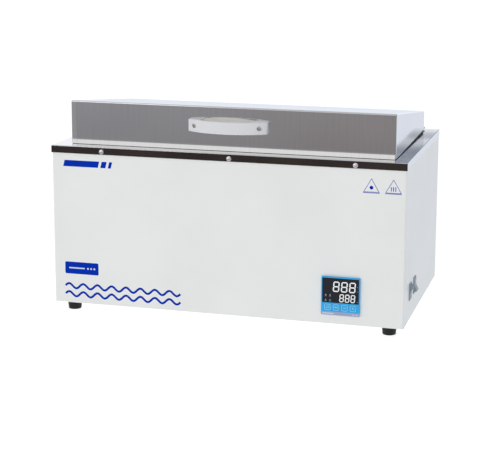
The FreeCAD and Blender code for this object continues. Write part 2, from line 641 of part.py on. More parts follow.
def make_hinge_deck_leaf():
    leaf = hinge_leaf(0, (DECK_Z, DECK_Z + 1), (364, HINGE_Y - 3.6))
    holes = [bar((x, HINGE_SCREW_Y, DECK_Z - 5), (0, 0, 1), 2 + CLEAR, 10) for x in HINGE_SCREW_X]
    return leaf.cut(Part.makeCompound(holes))


def make_hinge_lid_leaf():
    """Leaf that reaches forward over the deck leaf and turns up the rear wall of the lid."""
    low = DECK_Z + 4.5
    leaf = hinge_leaf(1, (low, low + 1), (LID_REAR, HINGE_Y - 3.6))
    upright = block(around(LID_X, HINGE_LENGTH), (LID_REAR, LID_REAR + 1), (low, DECK_Z + 24))
    leaf = join([leaf, upright])
    holes = [bar((x, LID_REAR - 5, z), (0, 1, 0), 1.6 + CLEAR, 10) for x, z in rivet_places()]
    return leaf.cut(Part.makeCompound(holes))


def make_hinge_pin():
    start = LID_X - HINGE_LENGTH / 2 - 1.5
    return bar((start, HINGE_Y, HINGE_Z), (1, 0, 0), PIN_RADIUS, HINGE_LENGTH + 3)


def make_hinge_screws():
    return Part.makeCompound([pan_head_screw((x, HINGE_SCREW_Y, DECK_Z + 1), (0, 0, 1), 2, 7, 3.4, 1.8)
                              for x in HINGE_SCREW_X])


def make_lid_rivets():
    """Pop rivets through the upright of the lid leaf, with a flat shop head inside."""
    rivets = []
    for x, z in rivet_places():
        shank = bar((x, LID_REAR - STEEL, z), (0, 1, 0), 1.6, STEEL + 1)
        outer = bar((x, LID_REAR + 1, z), (0, 1, 0), 3.2, 1.2)
        inner = bar((x, LID_REAR - STEEL - 1.2, z), (0, 1, 0), 2.4, 1.2)
        rivets.append(join([shank, outer, inner]))
    return Part.makeCompound(rivets)


# ------------------------------------------------------------------ controller
PANEL_LEFT = PANEL_X - PANEL_SIZE / 2
PANEL_LOW = CONTROL_Z - PANEL_SIZE / 2
BEZEL_FACE = FRONT - 4.0
STRIP_TOP = PANEL_LOW + 6.5
KEY_Z = PANEL_LOW + 15.0
KEY_NAMES = ("key_set", "key_shift", "key_down", "key_up")
KEY_X = [PANEL_X + KEY_PITCH * (index - 1.5) for index in range(4)]
GLASS_X = (PANEL_LEFT + 1.8, PANEL_LEFT + PANEL_SIZE - 1.8)
GLASS_Z = (PANEL_LOW + 23.4, PANEL_LOW + PANEL_SIZE - 2.0)


def make_controller_bezel():
    """Front frame with a pocket for the display glass and four key openings."""
    frame = block((PANEL_LEFT, PANEL_LEFT + PANEL_SIZE), (BEZEL_FACE, FRONT), (STRIP_TOP, PANEL_LOW + PANEL_SIZE))
    frame = rounded(frame, Y_AXIS, 1.5, lambda m: m.z > STRIP_TOP + 1)
    face_edges = [e for e in frame.Edges if abs(e.CenterOfMass.y - BEZEL_FACE) < 0.01
                  and e.CenterOfMass.z > STRIP_TOP + 0.1]
    frame = frame.makeFillet(0.7, face_edges)
    pocket = rounded(block(GLASS_X, (BEZEL_FACE - 1, BEZEL_FACE + 1.6), GLASS_Z), Y_AXIS, 1.0)
    see_through = block((GLASS_X[0] + 2, GLASS_X[1] - 2), (BEZEL_FACE, 5), (GLASS_Z[0] + 2, GLASS_Z[1] - 2))
    frame = frame.cut(pocket).cut(see_through)
    opening = KEY_SIZE + 0.5
    keys = [rounded(block(around(x, opening), (-9, 9), around(KEY_Z, opening)), Y_AXIS, 2.7) for x in KEY_X]
    return frame.cut(Part.makeCompound(keys))


def make_controller_strip():
    """Plain grey strip that closes the bottom of the bezel."""
    strip = block((PANEL_LEFT, PANEL_LEFT + PANEL_SIZE), (BEZEL_FACE, FRONT), (PANEL_LOW, STRIP_TOP))
    return rounded(strip, Y_AXIS, 1.5, lambda m: m.z < PANEL_LOW + 1)


def make_display_window():
    edge = 0.1
    glass = block((GLASS_X[0] + edge, GLASS_X[1] - edge), (BEZEL_FACE + 0.1, BEZEL_FACE + 1.6),
                  (GLASS_Z[0] + edge, GLASS_Z[1] - edge))
    return rounded(glass, Y_AXIS, 0.9)


def make_key(x):
    """Soft-cornered key cap with a stem that reaches its contact on the board."""
    cap = rounded(block(around(x, KEY_SIZE), (BEZEL_FACE - 0.4, FRONT + 1), around(KEY_Z, KEY_SIZE)), Y_AXIS, 2.5)
    cap = cap.makeFillet(0.4, [e for e in cap.Edges if abs(e.CenterOfMass.y - BEZEL_FACE + 0.4) < 0.01])
    return join([cap, bar((x, FRONT, KEY_Z), (0, 1, 0), 2, 9.2)])


def make_controller_board():
    """Circuit board with the display module and the four key contacts."""
    board = block(around(PANEL_X, 62), (12, 13.6), around(CONTROL_Z, 62))
    display = block(around(PANEL_X, 60), (FRONT + 0.5, 12), (GLASS_Z[0] + 3, GLASS_Z[1] - 4))
    contacts = [block(around(x, 6), (11.2, 12), around(KEY_Z, 6)) for x in KEY_X]
    parts_behind = [block(around(PANEL_X + dx, 14), (13.6, 24), around(CONTROL_Z + dz, 18))
                    for dx in (-18, 14) for dz in (-14, 16)]
    return join([board, display] + contacts + parts_behind)


def make_controller_housing():
    """Rear case of the controller: a square box open towards the bezel."""
    case = block(around(PANEL_X, 67.4), (FRONT, 76), around(CONTROL_Z, 67.4))
    case = case.cut(block(around(PANEL_X, 64), (-5, 74), around(CONTROL_Z, 64)))
    slots = [block(around(PANEL_X, 40), (30 + 8 * step, 33 + 8 * step), (CONTROL_Z + 20, CONTROL_Z + 40))
             for step in range(4)]
    return case.cut(Part.makeCompound(slots))


def make_controller_clamp():
    """Square ring that slides along the case and pulls the bezel against the panel."""
    ring = block(around(PANEL_X, 76), (FRONT + SHEET, 12), around(CONTROL_Z, 76))
    return ring.cut(block(around(PANEL_X, 67.8), (-5, 30), around(CONTROL_Z, 67.8)))


# ------------------------------------------------------------------ rocker switches
PIVOT_X = SIDE - 1.1
ROCKER_TIP = 12.94             # radius of the rocker's end faces about the pivot
ROCKER_WIDTH = 18.6


def make_switch_housing(y):
    """Snap-in housing: thin flange outside, body inside, cavity for the rocker."""
    flange = block((SIDE, SIDE + 1.8), around(y, 25.5), around(CONTROL_Z, 31))
    flange = rounded(flange, X_AXIS, 2.0)
    flange = flange.makeFillet(0.8, [e for e in flange.Edges if e.CenterOfMass.x > SIDE + 1.79])
    body = block((SIDE - 22, SIDE), around(y, 22.0), around(CONTROL_Z, 28.5))
    cavity = block((PIVOT_X - 6.4, SIDE + 9), around(y, ROCKER_WIDTH + 0.6), around(CONTROL_Z, 2 * ROCKER_TIP + 0.7))
    pivot = bar((PIVOT_X, y - 10.7, CONTROL_Z), (0, 1, 0), 1.56, 21.4)
    tabs = [block((SIDE - 31, SIDE - 22), around(y, 0.8), around(CONTROL_Z + dz, 6)) for dz in (-9, 0, 9)]
    return join([flange, body] + tabs).cut(cavity).cut(pivot)


def make_rocker(y, tilt):
    """Rocker with two flats that meet in a shallow V, tilted to its rest side."""
    low, high = y - ROCKER_WIDTH / 2, y + ROCKER_WIDTH / 2
    wing = 14.0
    lift = 3.5 + wing * math.tan(math.radians(SWITCH_TILT))
    outline = [(PIVOT_X - 3, low, CONTROL_Z - wing), (PIVOT_X + lift, low, CONTROL_Z - wing),
               (PIVOT_X + 3.5, low, CONTROL_Z), (PIVOT_X + lift, low, CONTROL_Z + wing),
               (PIVOT_X - 3, low, CONTROL_Z + wing)]
    rocker = extruded(outline, (0, ROCKER_WIDTH, 0))
    rocker = rocker.common(bar((PIVOT_X, low, CONTROL_Z), (0, 1, 0), ROCKER_TIP, high - low))
    pins = bar((PIVOT_X, low - 1.3, CONTROL_Z), (0, 1, 0), 1.5, ROCKER_WIDTH + 2.6)
    rocker = join([rocker, pins])
    rocker.rotate(Vector(PIVOT_X, y, CONTROL_Z), Vector(0, 1, 0), tilt)
    return rocker


# ------------------------------------------------------------------ rear services
def make_gland_body():
    """Cable gland: thread through the back panel with its hexagon outside."""
    thread = bar((GLAND_X, SHELL_REAR - 10, SERVICE_Z), (0, 1, 0), 10, SHEET + 10)
    collar = hexagon((GLAND_X, REAR, SERVICE_Z), (0, 1, 0), 25, 5)
    return join([thread, collar]).cut(bar((GLAND_X, SHELL_REAR - 20, SERVICE_Z), (0, 1, 0), 5, 60))


def make_gland_cap():
    cap = hexagon((GLAND_X, REAR + 5, SERVICE_Z), (0, 1, 0), 23, 8)
    dome = cone((GLAND_X, REAR + 13, SERVICE_Z), (0, 1, 0), 11, 7.5, 7)
    return join([cap, dome]).cut(bar((GLAND_X, REAR, SERVICE_Z), (0, 1, 0), 5, 30))


def make_gland_locknut():
    nut = hexagon((GLAND_X, SHELL_REAR - 5, SERVICE_Z), (0, 1, 0), 25, 5)
    return nut.cut(bar((GLAND_X, SHELL_REAR - 10, SERVICE_Z), (0, 1, 0), 10, 20))


def make_fuse_holder():
    tube = bar((FUSE_X, SHELL_REAR - 30, SERVICE_Z), (0, 1, 0), 6, SHEET + 30)
    flange = bar((FUSE_X, REAR, SERVICE_Z), (0, 1, 0), 8.5, 2)
    bore = bar((FUSE_X, SHELL_REAR - 27, SERVICE_Z), (0, 1, 0), 3.6, 60)
    return join([tube, flange]).cut(bore)


def make_fuse_cap():
    """Cap with a driver slot; its sleeve carries the fuse and turns in the holder."""
    knob = bar((FUSE_X, REAR + 2.1, SERVICE_Z), (0, 1, 0), 7, 8)
    knob = knob.makeFillet(1.0, [e for e in knob.Edges if e.CenterOfMass.y > REAR + 9 and len(e.Vertexes) == 1])
    knob = knob.cut(block(around(FUSE_X, 10), (REAR + 8.3, REAR + 20), around(SERVICE_Z, 1.6)))
    return join([knob, bar((FUSE_X, SHELL_REAR - 24, SERVICE_Z), (0, 1, 0), 3.54, 28)])


def make_earth_stud():
    """Equipotential bonding stud with a nut on each side of the back panel."""
    stud = bar((EARTH_X, SHELL_REAR - 10, SERVICE_Z), (0, 1, 0), 2.5, 30)
    inner = hexagon((EARTH_X, SHELL_REAR - 4, SERVICE_Z), (0, 1, 0), 8, 4)
    outer = hexagon((EARTH_X, REAR, SERVICE_Z), (0, 1, 0), 8, 4)
    return join([stud, inner, outer])


def make_heat_sink():
    low = BASE_Z + SHEET
    sink = block((-20, 60), (180, 260), (low, low + 30))
    gaps = [block((-15 + 10 * step, -10 + 10 * step), (170, 270), (low + 5, low + 25)) for step in range(8)]
    return sink.cut(Part.makeCompound(gaps))


def make_relay():
    low = BASE_Z + SHEET + 30
    relay = rounded(block((-10, 50), (197, 243), (low, low + 23)), Z_AXIS, 3.0)
    terminals = [bar((x, y, low + 18), (0, 0, 1), 4, 10) for x in (-3, 43) for y in (205, 235)]
    return relay.cut(Part.makeCompound(terminals))


# ------------------------------------------------------------------ assembly
def make_parts():
    parts = {
        "cabinet_shell": make_cabinet_shell(),
        "base_plate": make_base_plate(),
        "back_panel": make_back_panel(),
        "back_panel_screws": make_back_panel_screws(),
        "foot_screws": make_foot_screws(),
        "top_deck": make_top_deck(),
        "front_trim_strip": make_front_trim(),
        "trim_screws": make_trim_screws(),
        "inner_tank": make_inner_tank(),
        "tank_insulation": make_insulation(),
        "heater_tube": make_heater_tube(),
        "heater_support": make_heater_support(),
        "heater_glands": make_heater_glands(),
        "gland_nuts": make_gland_nuts(),
        "temperature_probe": make_temperature_probe(),
        "probe_gland": wall_gland(PROBE_Y, PROBE_Z, 5, 3, 15),
        "thermal_cutout": make_thermal_cutout(),
        "perforated_shelf": make_shelf(),
        "shelf_legs": make_shelf_legs(),
        "drain_pipe": make_drain_pipe(),
        "drain_valve_body": make_valve_body(),
        "drain_valve_ball": make_valve_ball(),
        "drain_valve_stem": make_valve_stem(),
        "drain_lever": make_drain_lever(),
        "drain_nozzle": make_drain_nozzle(),
        "lid_shell": make_lid_shell(),
        "lid_gasket": make_lid_gasket(),
        "lid_handle": make_lid_handle(),
        "handle_screws": make_handle_screws(),
        "hinge_deck_leaf": make_hinge_deck_leaf(),
        "hinge_lid_leaf": make_hinge_lid_leaf(),
        "hinge_pin": make_hinge_pin(),
        "hinge_screws": make_hinge_screws(),
        "lid_rivets": make_lid_rivets(),
        "controller_bezel": make_controller_bezel(),
        "controller_strip": make_controller_strip(),
        "display_window": make_display_window(),
        "controller_board": make_controller_board(),
        "controller_housing": make_controller_housing(),
        "controller_clamp": make_controller_clamp(),
        "power_switch_housing": make_switch_housing(SWITCH_Y[0]),
        "power_switch_rocker": make_rocker(SWITCH_Y[0], SWITCH_TILT),
        "heater_switch_housing": make_switch_housing(SWITCH_Y[1]),
        "heater_switch_rocker": make_rocker(SWITCH_Y[1], -SWITCH_TILT),
        "cable_gland_body": make_gland_body(),
        "cable_gland_cap": make_gland_cap(),
        "cable_gland_locknut": make_gland_locknut(),
        "fuse_holder": make_fuse_holder(),
        "fuse_cap": make_fuse_cap(),
        "earth_stud": make_earth_stud(),
        "relay_heat_sink": make_heat_sink(),
        "solid_state_relay": make_relay(),
    }
    for name, x in zip(KEY_NAMES, KEY_X):
        parts[name] = make_key(x)
    for row, y in zip(("front", "rear"), FOOT_Y):
        for hand, x in (("left", -FOOT_X), ("right", FOOT_X)):
            parts["foot_" + row + "_" + hand] = make_foot(x, y)
    return parts


def main():
    os.makedirs("parts", exist_ok=True)
    parts = make_parts()
    whole = Part.makeCompound(list(parts.values())).optimalBoundingBox(False, False)
    shift = Vector(-whole.Center.x, -whole.Center.y, -whole.ZMin)
    for name, shape in parts.items():
        shape.translate(shift)
        shape.exportStep("parts/" + name + ".step")
        print(name, "solids", len(shape.Solids), "valid", shape.isValid(), "volume", round(shape.Volume, 1))
    print("pieces", len(parts), "size", round(whole.XLength, 3), round(whole.YLength, 3), round(whole.ZLength, 3))
    print("shift", [round(value, 4) for value in shift])


main()
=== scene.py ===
import json
import math

import bmesh
import bpy
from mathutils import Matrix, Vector

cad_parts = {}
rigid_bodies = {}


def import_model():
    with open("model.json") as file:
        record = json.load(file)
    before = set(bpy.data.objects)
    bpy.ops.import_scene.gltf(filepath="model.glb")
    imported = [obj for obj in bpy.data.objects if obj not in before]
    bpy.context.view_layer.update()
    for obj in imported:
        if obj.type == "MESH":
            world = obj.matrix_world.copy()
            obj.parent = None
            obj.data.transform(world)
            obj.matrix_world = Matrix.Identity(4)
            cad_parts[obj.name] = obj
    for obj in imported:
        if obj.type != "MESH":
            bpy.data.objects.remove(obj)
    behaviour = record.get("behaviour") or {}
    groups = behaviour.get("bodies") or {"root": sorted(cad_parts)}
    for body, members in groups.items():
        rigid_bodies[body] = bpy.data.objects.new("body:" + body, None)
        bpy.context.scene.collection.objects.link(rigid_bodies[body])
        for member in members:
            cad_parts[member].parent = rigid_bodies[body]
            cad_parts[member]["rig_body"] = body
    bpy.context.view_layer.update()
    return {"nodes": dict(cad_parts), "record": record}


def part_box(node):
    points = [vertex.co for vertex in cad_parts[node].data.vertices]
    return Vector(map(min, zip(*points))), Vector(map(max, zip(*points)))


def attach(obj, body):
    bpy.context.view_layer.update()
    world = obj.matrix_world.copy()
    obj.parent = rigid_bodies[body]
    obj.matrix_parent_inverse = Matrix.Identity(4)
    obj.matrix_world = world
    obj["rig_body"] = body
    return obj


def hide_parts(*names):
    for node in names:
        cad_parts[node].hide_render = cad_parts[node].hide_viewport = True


bl_info = {
    "name": "Laboratory water bath",
    "version": (1, 0, 0),
    "blender": (4, 5, 0),
    "location": "3D View > Sidebar > Water bath",
    "description": "Finishes a water bath: painted cabinet, brushed steel lid and deck, controller, switches "
                   "and fittings",
    "category": "Object",
}

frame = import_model()

BODY_OF = {name: item["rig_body"] for name, item in frame["nodes"].items()}
SLOT_OF = {part["node"]: part["material_slot"] for part in frame["record"]["subparts"]}
MM = 0.001
LID_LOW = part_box("lid_shell")[0]

# Lid and controller, in metres. The hem stands in front of the lid's front panel.
HEM_LEVELS = 5
HEM_STAND = 0.0005
HEM_BLEND_START = 0.0010
HEM_BLEND_END = 0.0036
HEM_FOOT = 0.0004
LAP_WIDTH = 0.0112
LAP_STAND = 0.0002
GRIP_HALF_WIDTH = 0.0505
GRIP_DEPTH = 0.0045
GRIP_FACE = 0.001

PANEL_HEIGHT = 0.072

# Controller, in millimetres to the right of and down from its upper left corner
FIGURE_LEAN = 4
FIGURES = 3
FIGURE_ROWS = (  # left, bottom, step, width, height, stroke
    (21.4, 27.7, 15.0, 11.8, 19.6, 2.15),
    (33.6, 46.3, 10.4, 8.3, 15.0, 1.75),
)
ARROW_COLUMNS = (7.0, 15.2)
ARROW_ROWS = (33.0, 42.4)
LAMP_COLUMN = 67.2
LAMP_ROWS = (16.5, 25.0, 44.5)
STRIP_BARS = (  # start, end, height above the controller's lower edge, width
    (3.0, 24.0, 3.1, 2.0), (58.0, 62.0, 2.9, 1.4), (64.5, 69.0, 2.9, 1.4))

# Screen prints, in millimetres from the lower left corner of the cabinet's front
TITLE_BARS = ((22, 92), (97, 107), (112, 118))
TITLE_LEVELS = (266.5, 278.5)
TITLE_LEAN = 3
WAVE_LEVELS = (33, 17)
WAVE_START, WAVE_LENGTH, WAVE_HEIGHT, WAVE_WIDTH, WAVES = 22, 232, 4.6, 4.2, 8
BADGE = (22, 57, 90, 80.5, 2.5)
BADGE_LEVEL = 68.7
TRIANGLES = ((599.5, 629.5), (639.5, 669.5))
TRIANGLE_LOW, TRIANGLE_HIGH = 249.5, 275.5

# Lifts and thicknesses of prints and figures, in metres
PRINT_LIFT = 0.00001
WINDOW_LIFT = 0.00002
FIGURE_THICKNESS = 0.00006
STRIP_THICKNESS = 0.00005
KEY_MARK_THICKNESS = 0.00004

# Stage
FLOOR_HALF_WIDTH = 14.0
FLOOR_LEVEL = -0.0002
FLOOR_GLOW = 0.68
CAMERA_PLACE = (0.731189, -2.723838, 0.786123)
CAMERA_TURN = (78.9977, -0.1955, 15.5034)
CAMERA_LENS = 104.627
CAMERA_SHIFT = -0.12
LAMP_TARGET = Vector((0, 0, 0.2))

LENGTH = {"subtype": "DISTANCE", "unit": "LENGTH"}
COLOUR = {"subtype": "COLOR", "size": 3, "min": 0, "max": 1}


# ------------------------------------------------------------------ sizes and colours
class BathSizes(bpy.types.PropertyGroup):
    grain_line: bpy.props.FloatProperty(
        name="Grain line", description="Width of one line of the brushed grain",
        default=0.0009, min=0.0001, max=0.01, **LENGTH)
    grain_length: bpy.props.FloatProperty(
        name="Grain length", description="Length of one line of the brushed grain",
        default=0.09, min=0.005, max=1.0, **LENGTH)
    sheet_wave: bpy.props.FloatProperty(
        name="Sheet wave", description="Distance between the shallow waves in the sheet steel",
        default=0.16, min=0.02, max=1.0, **LENGTH)
    powder_grain: bpy.props.FloatProperty(
        name="Powder coat grain", description="Size of the orange peel in the paint",
        default=0.0022, min=0.0003, max=0.02, **LENGTH)
    hem_height: bpy.props.FloatProperty(
        name="Hem height", description="Height of the folded hem along the front of the lid",
        default=0.0100, min=0.002, max=0.03, **LENGTH)
    hem_flare: bpy.props.FloatProperty(
        name="Hem flare", description="How far the foot of the hem leans forward",
        default=0.0012, min=0.0, max=0.003, **LENGTH)
    hem_drop: bpy.props.FloatProperty(
        name="Hem drop", description="How far the front hem hangs below the side walls",
        default=0.0008, min=0.0, max=0.0012, **LENGTH)
    print_thickness: bpy.props.FloatProperty(
        name="Print thickness", description="Thickness of the screen print on the paint",
        default=0.00008, min=0.00001, max=0.001, **LENGTH)
    dome_recess: bpy.props.FloatProperty(
        name="Recess width", description="Width of the cross recess as a share of the screw head",
        default=0.95, min=0.3, max=1.4, subtype="FACTOR")


class BathColours(bpy.types.PropertyGroup):
    paint: bpy.props.FloatVectorProperty(
        name="Paint", description="Colour of the cabinet",
        default=(0.865, 0.885, 0.87), **COLOUR)
    steel: bpy.props.FloatVectorProperty(
        name="Steel", description="Tint of the stainless sheet",
        default=(0.70, 0.70, 0.71), **COLOUR)
    # Trim colour: near-black painted reflection, standing for the dark surroundings mirrored in the stainless front
    # skirt.
    trim: bpy.props.FloatVectorProperty(
        name="Trim", description="Colour of the dark strip along the front of the deck",
        default=(0.021, 0.014, 0.012), **COLOUR)
    handle: bpy.props.FloatVectorProperty(
        name="Handle", description="Colour of the moulded handle",
        default=(0.76, 0.77, 0.79), **COLOUR)
    print_blue: bpy.props.FloatVectorProperty(
        name="Print", description="Colour of the screen print",
        default=(0.0, 0.030, 0.43), **COLOUR)
    panel_blue: bpy.props.FloatVectorProperty(
        name="Controller", description="Colour of the controller's frame",
        default=(0.012, 0.42, 0.86), **COLOUR)
    panel_grey: bpy.props.FloatVectorProperty(
        name="Controller strip", description="Colour of the strip under the keys",
        default=(0.37, 0.40, 0.57), **COLOUR)
    switches: bpy.props.FloatVectorProperty(
        name="Switches", description="Colour of the rocker switches",
        default=(0.30, 0.36, 0.41), **COLOUR)


# ------------------------------------------------------------------ shader node groups
def add(tree, kind, x, y, inputs=None, **settings):
    """One node with its settings, and its sockets set or linked."""
    made = tree.nodes.new(kind)
    made.location = (x, y)
    for key, value in settings.items():
        setattr(made, key, value)
    for key, value in (inputs or {}).items():
        if isinstance(value, bpy.types.NodeSocket):
            tree.links.new(value, made.inputs[key])
        else:
            made.inputs[key].default_value = value
    return made


def noise(tree, x, y, place, detail, roughness, distortion=0.0, scale=1.0, **settings):
    """Value of a noise texture at a place."""
    return add(tree, "ShaderNodeTexNoise", x, y,
               {"Vector": place, "Scale": scale, "Detail": detail, "Roughness": roughness, "Distortion": distortion},
               **settings).outputs["Fac"]


def stretched(tree, x, y, place, factors):
    """The place multiplied along each axis, so that a texture is drawn out along the small factors."""
    return add(tree, "ShaderNodeVectorMath", x, y, {0: place, 1: factors}, operation="MULTIPLY").outputs[0]


def maths(tree, x, y, operation, first, second):
    return add(tree, "ShaderNodeMath", x, y, {0: first, 1: second}, operation=operation).outputs[0]


def new_group(name, values, outputs):
    """A group that takes a Place and named values, and puts out named values."""
    tree = bpy.data.node_groups.new(name, "ShaderNodeTree")
    tree.interface.new_socket("Place", in_out="INPUT", socket_type="NodeSocketVector")
    for label, value in values.items():
        socket = tree.interface.new_socket(label, in_out="INPUT", socket_type="NodeSocketFloat")
        socket.default_value = value
    for label in outputs:
        tree.interface.new_socket(label, in_out="OUTPUT", socket_type="NodeSocketFloat")
    return tree, add(tree, "NodeGroupInput", -900, 0).outputs, add(tree, "NodeGroupOutput", 700, 0).inputs


def place_in_sizes(tree, taken):
    """The place counted in steps of the group's Size."""
    turns = maths(tree, -700, -150, "DIVIDE", 1.0, taken["Size"])
    return add(tree, "ShaderNodeVectorMath", -500, 0, {0: taken["Place"], "Scale": turns},
               operation="SCALE").outputs[0]


def brushed_grain_group():
    """Long fine lines along V of a UV map in metres, and slow changes of tone across them."""
    tree, taken, given = new_group("Brushed grain", {"Line Width": 0.0009, "Line Length": 0.09}, ("Height", "Tone"))
    parts = add(tree, "ShaderNodeSeparateXYZ", -700, 0, {0: taken["Place"]})
    across = maths(tree, -500, 100, "DIVIDE", parts.outputs["X"], taken["Line Width"])
    along = maths(tree, -500, -100, "DIVIDE", parts.outputs["Y"], taken["Line Length"])
    lines = add(tree, "ShaderNodeCombineXYZ", -300, 0, {"X": across, "Y": along}).outputs[0]
    fine = noise(tree, -100, 150, lines, 4.0, 0.65, noise_dimensions="2D")
    broad_place = stretched(tree, -100, -150, lines, (0.22, 0.5, 1.0))
    broad = noise(tree, 100, -150, broad_place, 3.0, 0.6, noise_dimensions="2D")
    mixed = add(tree, "ShaderNodeMix", 300, -50, {"Factor": 0.4, "A": fine, "B": broad}, data_type="FLOAT")
    tree.links.new(fine, given["Height"])
    tree.links.new(mixed.outputs["Result"], given["Tone"])
    return tree


def sheet_wave_group():
    """Shallow waves of thin sheet, with no more detail than the sheet could have."""
    tree, taken, given = new_group("Sheet waves", {"Size": 0.16}, ("Height",))
    tree.links.new(noise(tree, -200, 0, place_in_sizes(tree, taken), 0.6, 0.3, 0.2), given["Height"])
    return tree


def pebble_group():
    """Soft rounded bumps: orange peel in paint at one size, moulded plastic at another."""
    tree, taken, given = new_group("Pebbled surface", {"Size": 0.002}, ("Height", "Variation"))
    bumps = noise(tree, -200, 100, place_in_sizes(tree, taken), 2.0, 0.45)
    slow_place = add(tree, "ShaderNodeVectorMath", -400, -200, {0: taken["Place"], "Scale": 7.0}, operation="SCALE")
    tree.links.new(bumps, given["Height"])
    tree.links.new(noise(tree, -200, -200, slow_place.outputs[0], 5.0, 0.55), given["Variation"])
    return tree


def handling_group():
    """Faint wiped patches: 0 where the surface is clean, 1 where it has been touched."""
    tree, taken, given = new_group("Handling marks", {"Amount": 0.5}, ("Mask",))
    cloud = noise(tree, -400, 0, stretched(tree, -600, 0, taken["Place"], (9.0, 13.0, 21.0)), 6.0, 0.62, 0.6)
    patches = add(tree, "ShaderNodeMapRange", -150, 0, {"Value": cloud, "From Min": 0.48, "From Max": 0.72},
                  interpolation_type="SMOOTHSTEP")
    tree.links.new(maths(tree, 100, 0, "MULTIPLY", patches.outputs[0], taken["Amount"]), given["Mask"])
    return tree


# ------------------------------------------------------------------ materials
GROUPS = {}
FINISHES = {}


def group(name):
    makers = {"grain": brushed_grain_group, "waves": sheet_wave_group, "pebble": pebble_group,
              "marks": handling_group}
    if name not in GROUPS:
        GROUPS[name] = makers[name]()
    return GROUPS[name]


def labelled(values):
    """Socket names from argument names."""
    return {key.replace("_", " "): value for key, value in values.items()}


class Finish:
    """A material being wired: its tree, its shader and the place on the surface."""

    def __init__(self, name, **shader):
        self.material = bpy.data.materials.new(name)
        self.material.use_nodes = True
        self.tree = self.material.node_tree
        self.shader = self.tree.nodes["Principled BSDF"]
        for label, value in labelled(shader).items():
            self.shader.inputs[label].default_value = value
        self.place = add(self.tree, "ShaderNodeTexCoord", -1500, 0).outputs["Object"]

    def use(self, name, y, **inputs):
        """Outputs of one of the shared groups, at the surface's own place unless another is given."""
        inputs.setdefault("Place", self.place)
        return add(self.tree, "ShaderNodeGroup", -1150, y, labelled(inputs), node_tree=group(name)).outputs

    def ranged(self, source, low, high, y, start=0.3, end=0.7):
        """A value that runs from low to high as the source runs from start to end."""
        made = add(self.tree, "ShaderNodeMapRange", -800, y,
                   {"Value": source, "From Min": start, "From Max": end, "To Min": low, "To Max": high})
        return made.outputs[0]

    def tinted(self, source, dark, light, y, start=0.3, end=0.7):
        """A colour that runs from dark to light as the source runs from start to end."""
        share = self.ranged(source, 0.0, 1.0, y, start, end)
        return add(self.tree, "ShaderNodeMix", -500, y, {"Factor": share, "A": (*dark, 1), "B": (*light, 1)},
                   data_type="RGBA").outputs["Result"]

    def bump(self, height, distance, y, under=None):
        made = add(self.tree, "ShaderNodeBump", -450, y, {"Height": height, "Distance": distance, "Strength": 1.0})
        if under is not None:
            self.tree.links.new(under, made.inputs["Normal"])
        return made.outputs["Normal"]

    def feed(self, **sources):
        for label, source in labelled(sources).items():
            self.tree.links.new(source, self.shader.inputs[label])
        return self.material


def shaded(colour, factor):
    return tuple(min(1.0, channel * factor) for channel in colour)


def either_side(colour, contrast):
    """The colour a little darker, and a little lighter."""
    return shaded(colour, 1 - contrast), shaded(colour, 1 + contrast)


def brushed_steel(name, colour, roughness, sizes, wave=0.0008):
    """Stainless sheet: fine grain along the piece's own UV map, and shallow waves in the sheet."""
    finish = Finish(name, Metallic=1.0, Anisotropic=0.5, Roughness=roughness)
    uv = add(finish.tree, "ShaderNodeUVMap", -1500, 250, uv_map="grain")
    tangent = add(finish.tree, "ShaderNodeTangent", -450, -600, direction_type="UV_MAP", uv_map="grain")
    lines = finish.use("grain", 250, Place=uv.outputs["UV"], Line_Width=sizes.grain_line,
                       Line_Length=sizes.grain_length)
    waves = finish.use("waves", -50, Size=sizes.sheet_wave)
    marks = finish.use("marks", -300, Amount=0.35)
    sheet = finish.bump(waves["Height"], wave, -300)
    fine = finish.bump(lines["Height"], 0.000003, -100, sheet)
    uneven = finish.ranged(lines["Tone"], roughness * 0.9, roughness * 1.12, 0)
    touched = maths(finish.tree, -500, 0, "MULTIPLY", marks["Mask"], 0.06)
    total = maths(finish.tree, -300, 0, "ADD", uneven, touched)
    tone = finish.tinted(lines["Tone"], *either_side(colour, 0.048), 300)
    return finish.feed(Base_Color=tone, Roughness=total, Normal=fine, Tangent=tangent.outputs[0])


def powder_coat(name, colour, sizes):
    """Sheet steel under a fine powder coat: faint orange peel, slightly uneven gloss."""
    finish = Finish(name, Roughness=0.38, Specular_IOR_Level=0.5, Coat_Weight=0.12, Coat_Roughness=0.22)
    peel = finish.use("pebble", 200, Size=sizes.powder_grain)
    waves = finish.use("waves", -50, Size=0.22)
    marks = finish.use("marks", -300, Amount=0.4)
    sheet = finish.bump(waves["Height"], 0.0006, -300)
    surface = finish.bump(peel["Height"], 0.00004, -100, sheet)
    tone = finish.tinted(peel["Variation"], shaded(colour, 0.975), shaded(colour, 1.015), 300)
    gloss = finish.ranged(marks["Mask"], 0.36, 0.46, 0, 0.0, 0.4)
    return finish.feed(Base_Color=tone, Roughness=gloss, Normal=surface)


def skinned(finish, colour, grain_size, depth, contrast, touch, glosses):
    """Fine pitting, slow changes of tone, and a roughness that handling raises from one value to another."""
    skin = finish.use("pebble", 200, Size=grain_size)
    marks = finish.use("marks", -100, Amount=touch)
    surface = finish.bump(skin["Height"], depth, -200)
    tone = finish.tinted(skin["Variation"], *either_side(colour, contrast), 300)
    gloss = finish.ranged(marks["Mask"], *glosses, 0, 0.0, touch)
    return finish.feed(Base_Color=tone, Roughness=gloss, Normal=surface)


def plain_metal(name, colour, roughness, grain_size=0.0006, depth=0.00001, contrast=0.06, metallic=1.0):
    """Turned, plated or cast metal: fine pitting and slow changes of tone."""
    finish = Finish(name, Metallic=metallic, Roughness=roughness)
    return skinned(finish, colour, grain_size, depth, contrast, 0.6, (roughness * 0.85, roughness * 1.35))


